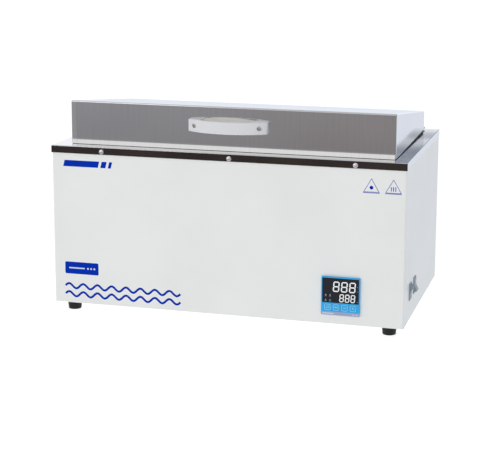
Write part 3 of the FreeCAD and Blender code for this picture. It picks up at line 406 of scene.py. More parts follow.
def moulded_plastic(name, colour, roughness, grain_size=0.0008, depth=0.00002, contrast=0.02, **shader):
    """Plastic or rubber with the fine skin that its mould leaves."""
    finish = Finish(name, Roughness=roughness, **shader)
    return skinned(finish, colour, grain_size, depth, contrast, 0.5, (roughness * 0.92, roughness * 1.2))


def mineral_wool(name):
    """Pressed wool: short fibres in layers, in several tones."""
    finish = Finish(name, Roughness=0.95, Sheen_Weight=0.3)
    fibres = stretched(finish.tree, -1300, 300, finish.place, (260.0, 260.0, 900.0))
    strands = noise(finish.tree, -1100, 300, fibres, 6.0, 0.7, 1.4)
    surface = finish.bump(strands, 0.0012, -200)
    tone = finish.tinted(strands, (0.52, 0.46, 0.32), (0.86, 0.82, 0.68), 300)
    return finish.feed(Base_Color=tone, Normal=surface)


def circuit_laminate(name):
    """Solder mask over tracks that run in straight runs."""
    finish = Finish(name, Roughness=0.35, Coat_Weight=0.3)
    tracks = add(finish.tree, "ShaderNodeTexBrick", -1100, 300,
                 {"Vector": finish.place, "Scale": 260.0, "Mortar Size": 0.06, "Brick Width": 2.4,
                  "Row Height": 0.35}).outputs["Fac"]
    tone = finish.tinted(tracks, (0.01, 0.14, 0.05), (0.05, 0.30, 0.12), 300, 0.0, 1.0)
    surface = finish.bump(tracks, 0.00005, -200)
    return finish.feed(Base_Color=tone, Normal=surface)


def lit_window(name):
    """Dark tinted window of the display."""
    finish = Finish(name, Roughness=0.16, Specular_IOR_Level=0.4)
    skin = finish.use("pebble", 200, Size=0.012)
    surface = finish.bump(skin["Height"], 0.00002, -200)
    tone = finish.tinted(skin["Variation"], (0.014, 0.015, 0.021), (0.021, 0.023, 0.031), 300)
    return finish.feed(Base_Color=tone, Normal=surface)


def glowing_segments(name, colour, strength):
    """Display segments that glow a little unevenly."""
    finish = Finish(name, Roughness=0.5, Emission_Strength=strength)
    skin = finish.use("pebble", 200, Size=0.004)
    tone = finish.tinted(skin["Height"], shaded(colour, 0.93), colour, 300)
    return finish.feed(Base_Color=tone, Emission_Color=tone)


def trim_with_painted_reflection(name, colour):
    """Polished strip whose near-black colour is painted reflection of dark surroundings in the deck's front skirt,
    with long, barely seen drawing lines.
    """
    finish = Finish(name, Roughness=0.26, Specular_IOR_Level=0.35, Coat_Weight=0.15, Coat_Roughness=0.12)
    drawn = stretched(finish.tree, -1300, 300, finish.place, (6.0, 900.0, 900.0))
    lines = noise(finish.tree, -1100, 300, drawn, 3.0, 0.6)
    patches = noise(finish.tree, -1100, 0, finish.place, 3.0, 0.5, scale=9.0)
    surface = finish.bump(lines, 0.000012, -200)
    tone = finish.tinted(patches, shaded(colour, 0.75), shaded(colour, 1.5), 300)
    gloss = finish.ranged(lines, 0.18, 0.30, 0)
    return finish.feed(Base_Color=tone, Roughness=gloss, Normal=surface)


def screen_ink(name, colour):
    """Screen-printed ink, a little thin in places."""
    return moulded_plastic(name, colour, 0.5, 0.0012, 0.000004, 0.04, Specular_IOR_Level=0.03)


def finish_for(slot):
    """The material of one slot of the record, made once."""
    sizes, colours = bpy.context.scene.bath_sizes, bpy.context.scene.bath_colours
    makers = {
        "cabinet_paint": lambda: powder_coat("White powder coat", tuple(colours.paint), sizes),
        "stainless": lambda: brushed_steel("Brushed stainless sheet", tuple(colours.steel), 0.09, sizes),
        # The dark trim's colour is painted reflection of dark surroundings, not a dark material of its own.
        "dark_trim": lambda: trim_with_painted_reflection("Dark polished strip", tuple(colours.trim)),
        "chrome_screws": lambda: plain_metal("Polished screw", (0.88, 0.88, 0.88), 0.22, metallic=0.8),
        "zinc_screws": lambda: plain_metal("Zinc plated screw", (0.72, 0.72, 0.71), 0.32, metallic=0.6),
        "mineral_wool": lambda: mineral_wool("Mineral wool"),
        "heater_sheath": lambda: plain_metal("Heat tinted sheath", (0.36, 0.31, 0.27), 0.36, 0.003, 0.00002, 0.2),
        "brass_fittings": lambda: plain_metal("Turned brass", (0.78, 0.58, 0.27), 0.28),
        "nickel_fittings": lambda: plain_metal("Nickel plate", (0.70, 0.68, 0.63), 0.24, 0.0012, 0.00003),
        "black_rubber": lambda: moulded_plastic("Black rubber", (0.014, 0.014, 0.016), 0.62, 0.0009, 0.00005, 0.15),
        "handle_inner": lambda: moulded_plastic("Inside of the handle", (0.84, 0.82, 0.78), 0.42, 0.0011, 0.000015),
        "handle_plastic": lambda: moulded_plastic("Moulded handle plastic", tuple(colours.handle), 0.34, 0.0011,
                                                  0.000015, 0.02, Subsurface_Weight=0.05, Subsurface_Scale=0.004),
        "controller_blue": lambda: moulded_plastic("Controller frame blue", tuple(colours.panel_blue), 0.38),
        "controller_grey": lambda: moulded_plastic("Controller strip grey", tuple(colours.panel_grey), 0.42),
        "display_face": lambda: lit_window("Display window"),
        "key_blue": lambda: moulded_plastic("Key blue", shaded(tuple(colours.panel_blue), 0.97), 0.46),
        "circuit_board": lambda: circuit_laminate("Circuit laminate"),
        "black_plastic": lambda: moulded_plastic("Black moulding", (0.03, 0.03, 0.033), 0.45, 0.0007, 0.00004, 0.1),
        "switch_grey": lambda: moulded_plastic("Switch grey", tuple(colours.switches), 0.40, 0.0006, 0.00002, 0.03),
        "lever_blue": lambda: moulded_plastic("Dipped grip", (0.02, 0.09, 0.42), 0.30, 0.004, 0.00008, 0.06),
        "relay_plastic": lambda: moulded_plastic("Relay case", (0.70, 0.69, 0.65), 0.45, 0.0007, 0.00003, 0.04),
        "heat_sink": lambda: plain_metal("Extruded aluminium", (0.60, 0.61, 0.62), 0.34, 0.0008, 0.00002),
        # Lap finish: the steel tinted 6 % lighter is a painted highlight for the strip's brighter reflection; its
        # higher roughness is the lap's own finish.
        "lap_steel": lambda: brushed_steel("Lapped seam", shaded(tuple(colours.steel), 1.06), 0.21, sizes, 0.0004),
        "print_blue": lambda: screen_ink("Blue screen print", tuple(colours.print_blue)),
        "print_pale": lambda: screen_ink("Pale screen print", (0.62, 0.70, 0.86)),
        "segment_white": lambda: glowing_segments("Lit segments", (0.90, 0.93, 0.95), 0.12),
        "icon_pale": lambda: glowing_segments("Small lit marks", (0.50, 0.55, 0.62), 0.05),
        "key_outline": lambda: moulded_plastic("Key outline", (0.42, 0.80, 1.0), 0.45, 0.0005, 0.000004, 0.04),
    }
    if slot not in FINISHES:
        FINISHES[slot] = makers[slot]()
    return FINISHES[slot]


# ------------------------------------------------------------------ mesh helpers
def grain_uv(bm):
    """UV map in metres. V runs along the grain: upright on walls, front to rear on tops."""
    layer = bm.loops.layers.uv.get("grain") or bm.loops.layers.uv.new("grain")
    for face in bm.faces:
        size = [abs(value) for value in face.normal]
        facing = size.index(max(size))
        for loop in face.loops:
            x, y, z = loop.vert.co
            loop[layer].uv = {0: (y, z), 1: (x, z), 2: (x, y)}[facing]


def new_object(name, data):
    """An object at the origin, in the scene."""
    made = bpy.data.objects.new(name, data)
    bpy.context.scene.collection.objects.link(made)
    return made


def made_mesh(name, bm):
    """The bmesh as a mesh. The bmesh is freed."""
    mesh = bpy.data.meshes.new(name)
    bm.to_mesh(mesh)
    bm.free()
    return mesh


def as_bmesh(mesh):
    bm = bmesh.new()
    bm.from_mesh(mesh)
    return bm


def smooth_by_angle(bm, degrees):
    """Smooth faces, with every edge that turns by more than so many degrees kept sharp."""
    limit = math.radians(degrees)
    for face in bm.faces:
        face.smooth = True
    for edge in bm.edges:
        edge.smooth = len(edge.link_faces) == 2 and edge.calc_face_angle(0.0) < limit


def merged_copy(node):
    """The node's triangles, joined into closed shells, as a bmesh."""
    bm = as_bmesh(frame["nodes"][node].data)
    bmesh.ops.remove_doubles(bm, verts=bm.verts, dist=0.000002)
    return bm


def weighted(piece):
    """Normals that keep the flats flat where they run into a rounded edge."""
    modifier = piece.modifiers.new("weighted", "WEIGHTED_NORMAL")
    modifier.keep_sharp = True
    modifier.weight = 80
    applied(piece)


def applied(piece):
    """Modifiers made part of the mesh."""
    bpy.context.view_layer.update()
    evaluated = piece.evaluated_get(bpy.context.evaluated_depsgraph_get())
    mesh = bpy.data.meshes.new_from_object(evaluated, preserve_all_data_layers=True,
                                           depsgraph=bpy.context.evaluated_depsgraph_get())
    old = piece.data
    piece.modifiers.clear()
    piece.data = mesh
    mesh.name = piece.name
    bpy.data.meshes.remove(old)


def place_piece(name, bm, body, slot, nodes=(), materials=None, degrees=32.0, weigh=False):
    """Makes the piece from its bmesh, puts it on its body and hides the nodes that it stands for."""
    grain_uv(bm)
    smooth_by_angle(bm, degrees)
    mesh = made_mesh(name, bm)
    for material in materials or [finish_for(slot)]:
        mesh.materials.append(material)
    piece = new_object(name, mesh)
    if weigh:
        weighted(piece)
    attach(piece, body)
    if nodes:
        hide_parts(*nodes)
    return piece


def finish_nodes(nodes, degrees=32.0):
    """Smooth, merged copies of CAD nodes whose shape is already right."""
    for node in nodes:
        bm = merged_copy(node)
        for face in bm.faces:
            face.material_index = 0
        place_piece(node + ".finished", bm, BODY_OF[node], SLOT_OF[node], [node], degrees=degrees, weigh=True)


def node_solids(node):
    """Low and high corner of each separate solid of a CAD node."""
    bm = merged_copy(node)
    bm.verts.index_update()
    waiting, boxes = set(bm.verts), []
    while waiting:
        front = [waiting.pop()]
        found = []
        while front:
            vert = front.pop()
            found.append(vert.co.copy())
            for edge in vert.link_edges:
                other = edge.other_vert(vert)
                if other in waiting:
                    waiting.discard(other)
                    front.append(other)
        boxes.append((Vector([min(co[i] for co in found) for i in range(3)]),
                      Vector([max(co[i] for co in found) for i in range(3)])))
    bm.free()
    return sorted(boxes, key=lambda pair: tuple(round(value, 5) for value in pair[0]))


# ------------------------------------------------------------------ flat shapes: prints, digits, icons
def disc(u, v, radius, steps=28):
    turns = [2 * math.pi * step / steps for step in range(steps)]
    return [(u + radius * math.cos(turn), v + radius * math.sin(turn)) for turn in turns], [list(range(steps))]


def rounded_plate(low_u, low_v, high_u, high_v, radius, steps=6):
    points = []
    for u, v, start in ((high_u, high_v, 0), (low_u, high_v, 90), (low_u, low_v, 180), (high_u, low_v, 270)):
        cu = u - math.copysign(radius, u - (low_u + high_u) / 2)
        cv = v - math.copysign(radius, v - (low_v + high_v) / 2)
        for step in range(steps + 1):
            turn = math.radians(start + 90 * step / steps)
            points.append((cu + radius * math.cos(turn), cv + radius * math.sin(turn)))
    return points, [list(range(len(points)))]


def ribbon(line, width, closed=False):
    """Band of even width along a line, with square ends, or a closed ring."""
    count = len(line)
    points, faces = [], []
    for index, (u, v) in enumerate(line):
        before = line[index - 1] if closed or index else line[index]
        after = line[(index + 1) % count] if closed or index < count - 1 else line[index]
        first = Vector((u - before[0], v - before[1]))
        second = Vector((after[0] - u, after[1] - v))
        first = first.normalized() if first.length else second.normalized()
        second = second.normalized() if second.length else first
        along = (first + second).normalized()
        reach = width / 2 / max(0.35, along.dot(second))
        points += [(u - along.y * reach, v + along.x * reach), (u + along.y * reach, v - along.x * reach)]
    for index in range(count if closed else count - 1):
        a, b = 2 * index, 2 * ((index + 1) % count)
        faces.append([a, a + 1, b + 1, b])
    return points, faces


def slanted_bar(low_u, low_v, high_u, high_v, lean):
    points = [(low_u, low_v), (high_u, low_v), (high_u + lean, high_v), (low_u + lean, high_v)]
    return points, [[0, 1, 2, 3]]


def ripple(start, length, middle, height, waves, width, steps=16):
    """A wavy line as a ribbon."""
    count = waves * steps
    line = [(start + length * step / count, middle + height * math.sin(2 * math.pi * step / steps))
            for step in range(count + 1)]
    return ribbon(line, width)


def seven_segments(u, v, width, height, stroke, lean):
    """All seven bars of a lit figure eight, with pointed ends and small gaps between them."""
    gap = stroke * 0.10
    half = stroke / 2
    left, right, low, high = u + half, u + width - half, v + half, v + height - half
    middle = (low + high) / 2
    shapes = []
    for level in (low, middle, high):
        a, b = left + gap, right - gap
        shapes.append([(a, level), (a + half, level - half), (b - half, level - half), (b, level),
                       (b - half, level + half), (a + half, level + half)])
    for side in (left, right):
        for start, end in ((low, middle), (middle, high)):
            a, b = start + gap, end - gap
            shapes.append([(side, a), (side + half, a + half), (side + half, b - half), (side, b),
                           (side - half, b - half), (side - half, a + half)])
    slope = math.tan(math.radians(lean))
    return [([(p + (q - v) * slope, q) for p, q in shape], [[0, 1, 2, 3, 4, 5]]) for shape in shapes]


def raised(shapes, face, thickness):
    """Closed thin plates standing on a face. face(u, v, w) gives the point at height w above it."""
    bm = bmesh.new()
    for points, faces in shapes:
        top = [bm.verts.new(face(u, v, thickness)) for u, v in points]
        bottom = [bm.verts.new(face(u, v, 0.0)) for u, v in points]
        rims = {}
        for loop in faces:
            bm.faces.new([top[index] for index in loop])
            bm.faces.new([bottom[index] for index in reversed(loop)])
            for a, b in zip(loop, loop[1:] + loop[:1]):
                rims[(a, b)] = rims.pop((b, a), None) is None
        for (a, b), open_rim in rims.items():
            if open_rim:
                bm.faces.new([top[a], bottom[a], bottom[b], top[b]])
    bmesh.ops.recalc_face_normals(bm, faces=bm.faces)
    return bm


def front_face(node, lift=0.0):
    """Place on the front (-Y) face of a node, in millimetres from its lower left corner."""
    low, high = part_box(node)
    return lambda u, v, w: Vector((low.x + u * MM, low.y - lift - w, low.z + v * MM))


# ------------------------------------------------------------------ screws by geometry nodes
def turned_head(name, profile, recess_width, recess_depth, steps=28):
    """Round head turned from (radius, height) pairs, with a cross recess cut into its top."""
    bm = bmesh.new()
    rings = []
    for radius, height in profile:
        if radius == 0:
            rings.append([bm.verts.new((0, 0, height))])
        else:
            rings.append([bm.verts.new((radius * math.cos(2 * math.pi * step / steps),
                                        radius * math.sin(2 * math.pi * step / steps), height))
                          for step in range(steps)])
    for lower, upper in zip(rings, rings[1:]):
        for step in range(steps):
            after = (step + 1) % steps
            corners = [lower[step % len(lower)], lower[after % len(lower)],
                       upper[after % len(upper)], upper[step % len(upper)]]
            unique = list(dict.fromkeys(corners))
            if len(unique) > 2:
                bm.faces.new(unique)
    bmesh.ops.recalc_face_normals(bm, faces=bm.faces)
    smooth_by_angle(bm, 40)
    head = new_object(name, made_mesh(name, bm))
    if recess_depth > 0:
        cutter = cross_cutter(name + ".cutter", recess_width, profile[-1][1], recess_depth)
        cut = head.modifiers.new("recess", "BOOLEAN")
        cut.operation, cut.object, cut.solver, cut.use_self = "DIFFERENCE", cutter, "EXACT", True
        applied(head)
        bpy.data.objects.remove(cutter)
    return head


def cross_cutter(name, width, top, depth):
    """Two crossed wedges that narrow downwards."""
    bm = bmesh.new()
    for turned in (False, True):
        corners = []
        for z, reach, half in ((top - depth, width * 0.28, width * 0.07), (top + width, width * 0.62, width * 0.13)):
            for a, b in ((-reach, -half), (reach, -half), (reach, half), (-reach, half)):
                corners.append(bm.verts.new((b, a, z) if turned else (a, b, z)))
        low, high = corners[:4], corners[4:]
        bm.faces.new(low)
        bm.faces.new(high)
        for step in range(4):
            after = (step + 1) % 4
            bm.faces.new([low[step], low[after], high[after], high[step]])
    bmesh.ops.recalc_face_normals(bm, faces=bm.faces)
    return new_object(name, made_mesh(name, bm))


def screw_row_tree():
    """Puts one head on each point, faces it outwards and turns each by its own angle."""
    tree = bpy.data.node_groups.new("Screw row", "GeometryNodeTree")
    for label, kind in (("Points", "NodeSocketGeometry"), ("Head", "NodeSocketObject"),
                        ("Facing", "NodeSocketRotation"), ("Seed", "NodeSocketInt"),
                        ("Finish", "NodeSocketMaterial")):
        tree.interface.new_socket(label, in_out="INPUT", socket_type=kind)
    tree.interface.new_socket("Screws", in_out="OUTPUT", socket_type="NodeSocketGeometry")
    taken = add(tree, "NodeGroupInput", -800, 0)
    given = add(tree, "NodeGroupOutput", 800, 0)
    head = add(tree, "GeometryNodeObjectInfo", -550, -200, {"Object": taken.outputs["Head"]})
    row = add(tree, "GeometryNodeInstanceOnPoints", -250, 0,
              {"Points": taken.outputs["Points"], "Instance": head.outputs["Geometry"],
               "Rotation": taken.outputs["Facing"]})
    spin = add(tree, "FunctionNodeRandomValue", -250, -300, data_type="FLOAT")
    spin.inputs[2].default_value = 0.0
    spin.inputs[3].default_value = math.pi
    tree.links.new(taken.outputs["Seed"], spin.inputs["Seed"])
    about = add(tree, "ShaderNodeCombineXYZ", -50, -300, {"Z": spin.outputs[1]})
    turned = add(tree, "GeometryNodeRotateInstances", 100, 0,
                 {"Instances": row.outputs[0], "Rotation": about.outputs[0], "Local Space": True})
    real = add(tree, "GeometryNodeRealizeInstances", 300, 0, {"Geometry": turned.outputs[0]})
    coated = add(tree, "GeometryNodeSetMaterial", 500, 0,
                 {"Geometry": real.outputs[0], "Material": taken.outputs["Finish"]})
    tree.links.new(coated.outputs[0], given.inputs[0])
    return tree


def screws_on(node, outward, head_height, profile, recess, seed):
    """Replaces a node of screws: one turned head with its shank at each solid's seat."""
    axis = max(range(3), key=lambda index: abs(outward[index]))
    sign = 1 if outward[axis] > 0 else -1
    seats = []
    for low, high in node_solids(node):
        seat = (low + high) / 2
        seat[axis] = (high[axis] if sign > 0 else low[axis]) - sign * head_height
        seats.append(seat)
    points = bpy.data.meshes.new(node + ".seats")
    points.from_pydata([tuple(seat) for seat in seats], [], [])
    row = new_object(node + ".row", points)
    head = turned_head(node + ".head", profile, *recess)
    tree = bpy.data.node_groups.get("Screw row") or screw_row_tree()
    modifier = row.modifiers.new("screws", "NODES")
    modifier.node_group = tree
    values = {"Head": head, "Facing": Vector((0, 0, 1)).rotation_difference(Vector(outward)).to_euler(),
              "Seed": seed, "Finish": finish_for(SLOT_OF[node])}
    for item in tree.interface.items_tree:
        if item.in_out == "INPUT" and item.name in values:
            modifier[item.identifier] = values[item.name]
    bpy.context.view_layer.update()
    evaluated = row.evaluated_get(bpy.context.evaluated_depsgraph_get())
    mesh = bpy.data.meshes.new_from_object(evaluated)
    row.modifiers.clear()
    bpy.data.objects.remove(row)
    bpy.data.objects.remove(head)
    bm = as_bmesh(mesh)
    bpy.data.meshes.remove(mesh)
    place_piece(node + ".turned", bm, BODY_OF[node], SLOT_OF[node], [node], degrees=40)


def domed(radius, height, shank_radius, shank_length, steps=7):
    """Profile of a domed head over its shank, from the shank's end up."""
    curve = (radius ** 2 + height ** 2) / (2 * height)
    reach = math.asin(radius / curve)
    arc = [(curve * math.sin(reach * (1 - step / steps)),
            curve * math.cos(reach * (1 - step / steps)) - curve + height) for step in range(steps)]
    return [(0, -shank_length), (shank_radius, -shank_length), (shank_radius, 0)] + arc + [(0, height)]


def pan(radius, height, shank_radius, shank_length):
    """Profile of a pan head: upright rim, rounded shoulder, nearly flat top."""
    return [(0, -shank_length), (shank_radius, -shank_length), (shank_radius, 0), (radius, 0),
            (radius, height * 0.40), (radius * 0.97, height * 0.60), (radius * 0.90, height * 0.78),
            (radius * 0.78, height * 0.90), (radius * 0.55, height * 0.97), (0, height)]


# ------------------------------------------------------------------ operators
class BATH_OT_cabinet(bpy.types.Operator):
    """Painted cabinet, its base and louvred back, and the rubber feet"""
    bl_idname = "bath.cabinet"
    bl_label = "Cabinet"

    def execute(self, context):
        finish_nodes(["cabinet_shell", "base_plate", "back_panel"])
        finish_nodes(["foot_front_left", "foot_front_right", "foot_rear_left", "foot_rear_right"])
        return {"FINISHED"}


class BATH_OT_deck(bpy.types.Operator):
    """Stainless deck, tank and shelf, and the strip along the front, whose near-black colour is painted reflection"""
    bl_idname = "bath.deck"
    bl_label = "Deck and tank"

    def execute(self, context):
        finish_nodes(["top_deck", "inner_tank", "perforated_shelf", "shelf_legs", "front_trim_strip"])
        return {"FINISHED"}


class BATH_OT_lid(bpy.types.Operator):
    """Folded lid with its hem and lapped seam, seal, handle and long hinge"""
    bl_idname = "bath.lid"
    bl_label = "Lid"

    def execute(self, context):
        self.fold_shell(context.scene.bath_sizes)
        bm = merged_copy("lid_handle")
        low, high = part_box("lid_handle")
        for face in bm.faces:
            middle = face.calc_center_median()
            inner = face.normal.y < -0.3 and middle.y > high.y - GRIP_DEPTH or face.normal.y > 0.3
            between = abs(middle.x - (low.x + high.x) / 2) < GRIP_HALF_WIDTH
            face.material_index = 1 if inner and between and middle.y < high.y - GRIP_FACE else 0
        place_piece("lid_handle.finished", bm, "lid", "handle_plastic", ["lid_handle"],
                    [finish_for("handle_plastic"), finish_for("handle_inner")], weigh=True)
        finish_nodes(["lid_gasket", "hinge_lid_leaf", "hinge_deck_leaf", "hinge_pin"])
        return {"FINISHED"}

    def fold_shell(self, sizes):
        """The lid's sheet with its front hem eased forwards and down, and its left end lapped, the lap faces tinted
        lighter as a painted highlight.
        """
        bm = merged_copy("lid_shell")
        fold = LID_LOW.z + sizes.hem_height
        for step in range(HEM_LEVELS):
            level = fold - 0.5 * sizes.hem_height * step / (HEM_LEVELS - 1)
            everything = bm.verts[:] + bm.edges[:] + bm.faces[:]
            bmesh.ops.bisect_plane(bm, geom=everything, plane_co=(0, 0, level), plane_no=(0, 0, 1))
        panel = LID_LOW.y + HEM_STAND
        for vert in bm.verts:
            share = (panel + HEM_BLEND_END - vert.co.y) / (HEM_BLEND_END - HEM_BLEND_START)
            share = min(1.0, max(0.0, share))
            drop = min(1.0, max(0.0, (fold - vert.co.z) / sizes.hem_height))
            lean = drop ** 2 if drop < 0.5 else drop - 0.25
            vert.co.y -= sizes.hem_flare * share * lean / 0.75
            if vert.co.z < LID_LOW.z + HEM_FOOT:
                vert.co.z -= sizes.hem_drop * share
        for face in bm.faces:
            middle = face.calc_center_median()
            # Lap faces get the lap finish, whose lighter tint paints the strip's brighter reflection.
            on_lap = middle.x < LID_LOW.x + LAP_WIDTH and middle.y < panel - LAP_STAND and face.normal.y < -0.5
            face.material_index = 1 if on_lap else 0
        place_piece("lid_shell.folded", bm, "lid", "stainless", ["lid_shell"],
                    [finish_for("stainless"), finish_for("lap_steel")], 30.0, weigh=True)


class BATH_OT_screws(bpy.types.Operator):
    """Domed trim screws, pan head screws and rivets, each row grown from its seats"""
    bl_idname = "bath.screws"
    bl_label = "Screws and rivets"

    def execute(self, context):
        share = context.scene.bath_sizes.dome_recess
        rows = (  # node, outward, head height, profile, recess width and depth, seed
            ("trim_screws", (0, -1, 0), 2.4, domed(4.8, 2.4, 1.5, 1.8), (4.4 * share, 1.2), 3),
            ("handle_screws", (0, -1, 0), 2.4, pan(3.7, 2.4, 2.0, 18), (4.4 * share, 1.5), 8),
            ("back_panel_screws", (0, 1, 0), 2.2, pan(3.6, 2.2, 1.75, 8), (4.2 * share, 1.4), 11),
            ("foot_screws", (0, 0, -1), 3.2, pan(4.8, 3.2, 2.5, 16), (5.2 * share, 1.8), 5),
            ("hinge_screws", (0, 0, 1), 1.8, pan(3.4, 1.8, 2.0, 7), (4.0 * share, 1.1), 21),
            ("lid_rivets", (0, 1, 0), 1.2, domed(3.2, 1.2, 1.6, 3.2), (0.0, 0.0), 2),
        )
        for node, outward, height, profile, recess, seed in rows:
            scaled = [(radius * MM, level * MM) for radius, level in profile]
            screws_on(node, outward, height * MM, scaled, [value * MM for value in recess], seed)
        return {"FINISHED"}


class BATH_OT_controller(bpy.types.Operator):
    """Controller frame, dark window with lit figures, and four marked keys"""
    bl_idname = "bath.controller"
    bl_label = "Controller"

    def execute(self, context):
        keys = ["key_set", "key_shift", "key_down", "key_up"]
        finish_nodes(["controller_bezel", "controller_strip", "display_window", "controller_board",
                      "controller_housing", "controller_clamp"] + keys)
        window = front_face("display_window", WINDOW_LIFT)
        panel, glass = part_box("controller_strip")[0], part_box("display_window")[0]
        left = (panel.x - glass.x) / MM
        top = (panel.z + PANEL_HEIGHT - glass.z) / MM
        figures = []
        for index in range(FIGURES):
            for u, v, step, width, height, stroke in FIGURE_ROWS:
                figures += seven_segments(left + u + step * index, top - v, width, height, stroke, FIGURE_LEAN)
        bm = raised(figures, window, FIGURE_THICKNESS)
        place_piece("display_figures", bm, "cabinet", "display_face", materials=[finish_for("segment_white")])
        strip = [ribbon([(start, level), (end, level)], width) for start, end, level, width in STRIP_BARS]
        bm = raised(strip, front_face("controller_strip", PRINT_LIFT), STRIP_THICKNESS)
        place_piece("strip_marks", bm, "cabinet", "controller_grey", materials=[finish_for("print_pale")])
        marks = []
        for u in (left + column for column in ARROW_COLUMNS):
            for v in (top - row for row in ARROW_ROWS):
                marks.append(ribbon([(u + 0.4, v - 2.0), (u + 1.5, v), (u + 2.6, v - 2.0)], 0.55))
                marks.append(ribbon([(u - 0.3, v - 3.3), (u + 3.3, v - 3.3)], 0.5))
        marks += [disc(left + LAMP_COLUMN, top - row, 0.6, 12) for row in LAMP_ROWS]
        bm = raised(marks, window, FIGURE_THICKNESS)
        place_piece("display_marks", bm, "cabinet", "display_face", materials=[finish_for("icon_pale")])
        for key in keys:
            self.mark_key(key)
        return {"FINISHED"}

    def mark_key(self, key):
        """Pale outline round the key cap, and its sign."""
        low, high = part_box(key)
        size = (high.x - low.x) / MM
        outline = rounded_plate(0.75, 0.75, size - 0.75, size - 0.75, 2.6 if key == "key_shift" else 1.9)[0]
        middle = size / 2
        loop = [(middle + 2.9 * math.cos(math.radians(turn)), middle + 1.9 * math.sin(math.radians(turn)))
                for turn in range(-140, 150, 15)]
        barb = [(middle - 3.6, middle - 0.2), (middle - 2.4, middle - 1.5), (middle - 1.1, middle - 0.4)]
        signs = {
            "key_set": [ribbon(loop, 0.6), ribbon(barb, 0.6)],
            "key_shift": [ripple(middle - 3.3, 6.6, middle, 1.0, 2, 0.65)],
            "key_down": [ribbon([(middle - 2.7, middle), (middle + 2.7, middle)], 0.8)],
            "key_up": [ribbon([(middle - 2.3, middle), (middle + 2.3, middle)], 0.8),
                       ribbon([(middle, middle - 2.3), (middle, middle + 2.3)], 0.8)],
        }
        shapes = [ribbon(outline, 0.7, closed=True)] + signs[key]
        bm = raised(shapes, front_face(key, PRINT_LIFT), KEY_MARK_THICKNESS)
        place_piece(key + ".marks", bm, BODY_OF[key], "key_blue", materials=[finish_for("key_outline")])


class BATH_OT_switches(bpy.types.Operator):
    """Two rocker switches in their housings"""
    bl_idname = "bath.switches"
    bl_label = "Rocker switches"

    def execute(self, context):
        finish_nodes(["power_switch_housing", "heater_switch_housing", "power_switch_rocker", "heater_switch_rocker"])
        return {"FINISHED"}


class BATH_OT_prints(bpy.types.Operator):
    """Plain blue screen print on the cabinet's front: bars, a badge, waves and two triangles"""
    bl_idname = "bath.prints"
    bl_label = "Screen prints"

    def execute(self, context):
        thickness = context.scene.bath_sizes.print_thickness
        blue = [slanted_bar(start, TITLE_LEVELS[0], end, TITLE_LEVELS[1], TITLE_LEAN) for start, end in TITLE_BARS]
        blue += [ripple(WAVE_START, WAVE_LENGTH, level, WAVE_HEIGHT, WAVES, WAVE_WIDTH) for level in WAVE_LEVELS]
        blue.append(rounded_plate(*BADGE))
        for left, right in TRIANGLES:
            corners = [(left + 1, TRIANGLE_LOW + 1), (right - 1, TRIANGLE_LOW + 1),
                       ((left + right) / 2, TRIANGLE_HIGH - 1)]
            blue.append(ribbon(corners, 0.9, closed=True))
            blue.append(ribbon([(left, TRIANGLE_LOW - 0.6), (right, TRIANGLE_LOW - 0.6)], 1.1))
        blue.append(disc(614.5, 258.5, 3.4))
        blue += [ribbon([(u, 253.5), (u, 261.5)], 1.5) for u in (650.5, 654.5, 658.5)]
        bm = raised(blue, front_face("cabinet_shell", PRINT_LIFT), thickness)
        place_piece("front_print_blue", bm, "cabinet", "controller_blue", materials=[finish_for("print_blue")])
        pale = [ribbon([(30, BADGE_LEVEL), (62, BADGE_LEVEL)], 2.6)]
        pale += [disc(u, BADGE_LEVEL, 1.9, 16) for u in (68.5, 75.0, 81.5)]
        bm = raised(pale, front_face("cabinet_shell", PRINT_LIFT + thickness), thickness)
        place_piece("front_print_pale", bm, "cabinet", "controller_blue", materials=[finish_for("print_pale")])
        return {"FINISHED"}


class BATH_OT_fittings(bpy.types.Operator):
    """Drain valve, cable gland, fuse, bonding stud, heater, probe and the pieces inside the cabinet"""
    bl_idname = "bath.fittings"
    bl_label = "Fittings"

    def execute(self, context):
        finish_nodes(["drain_pipe", "drain_valve_body", "drain_valve_ball", "drain_valve_stem", "drain_lever",
                      "drain_nozzle", "cable_gland_body", "cable_gland_cap", "cable_gland_locknut", "fuse_holder",
                      "fuse_cap", "earth_stud"])
        finish_nodes(["heater_tube", "heater_support", "heater_glands", "gland_nuts", "temperature_probe",
                      "probe_gland", "thermal_cutout", "relay_heat_sink", "solid_state_relay"])
        return {"FINISHED"}


class BATH_OT_insulation(bpy.types.Operator):
    """Mineral wool jacket with an uneven, fibrous surface"""
    bl_idname = "bath.insulation"
    bl_label = "Insulation"

    def execute(self, context):
        piece = new_object("jacket", made_mesh("tank_insulation.wool", merged_copy("tank_insulation")))
        remesh = piece.modifiers.new("even", "REMESH")
        remesh.mode, remesh.voxel_size = "VOXEL", 0.006
        cloud = bpy.data.textures.new("wool tufts", "CLOUDS")
        cloud.noise_scale = 0.03
        tufts = piece.modifiers.new("tufts", "DISPLACE")
        tufts.texture, tufts.strength, tufts.mid_level = cloud, -0.0022, 0.0
        applied(piece)
        bm = as_bmesh(piece.data)
        bpy.data.objects.remove(piece)
        place_piece("tank_insulation.wool", bm, "cabinet", "mineral_wool", ["tank_insulation"], degrees=180)
        return {"FINISHED"}


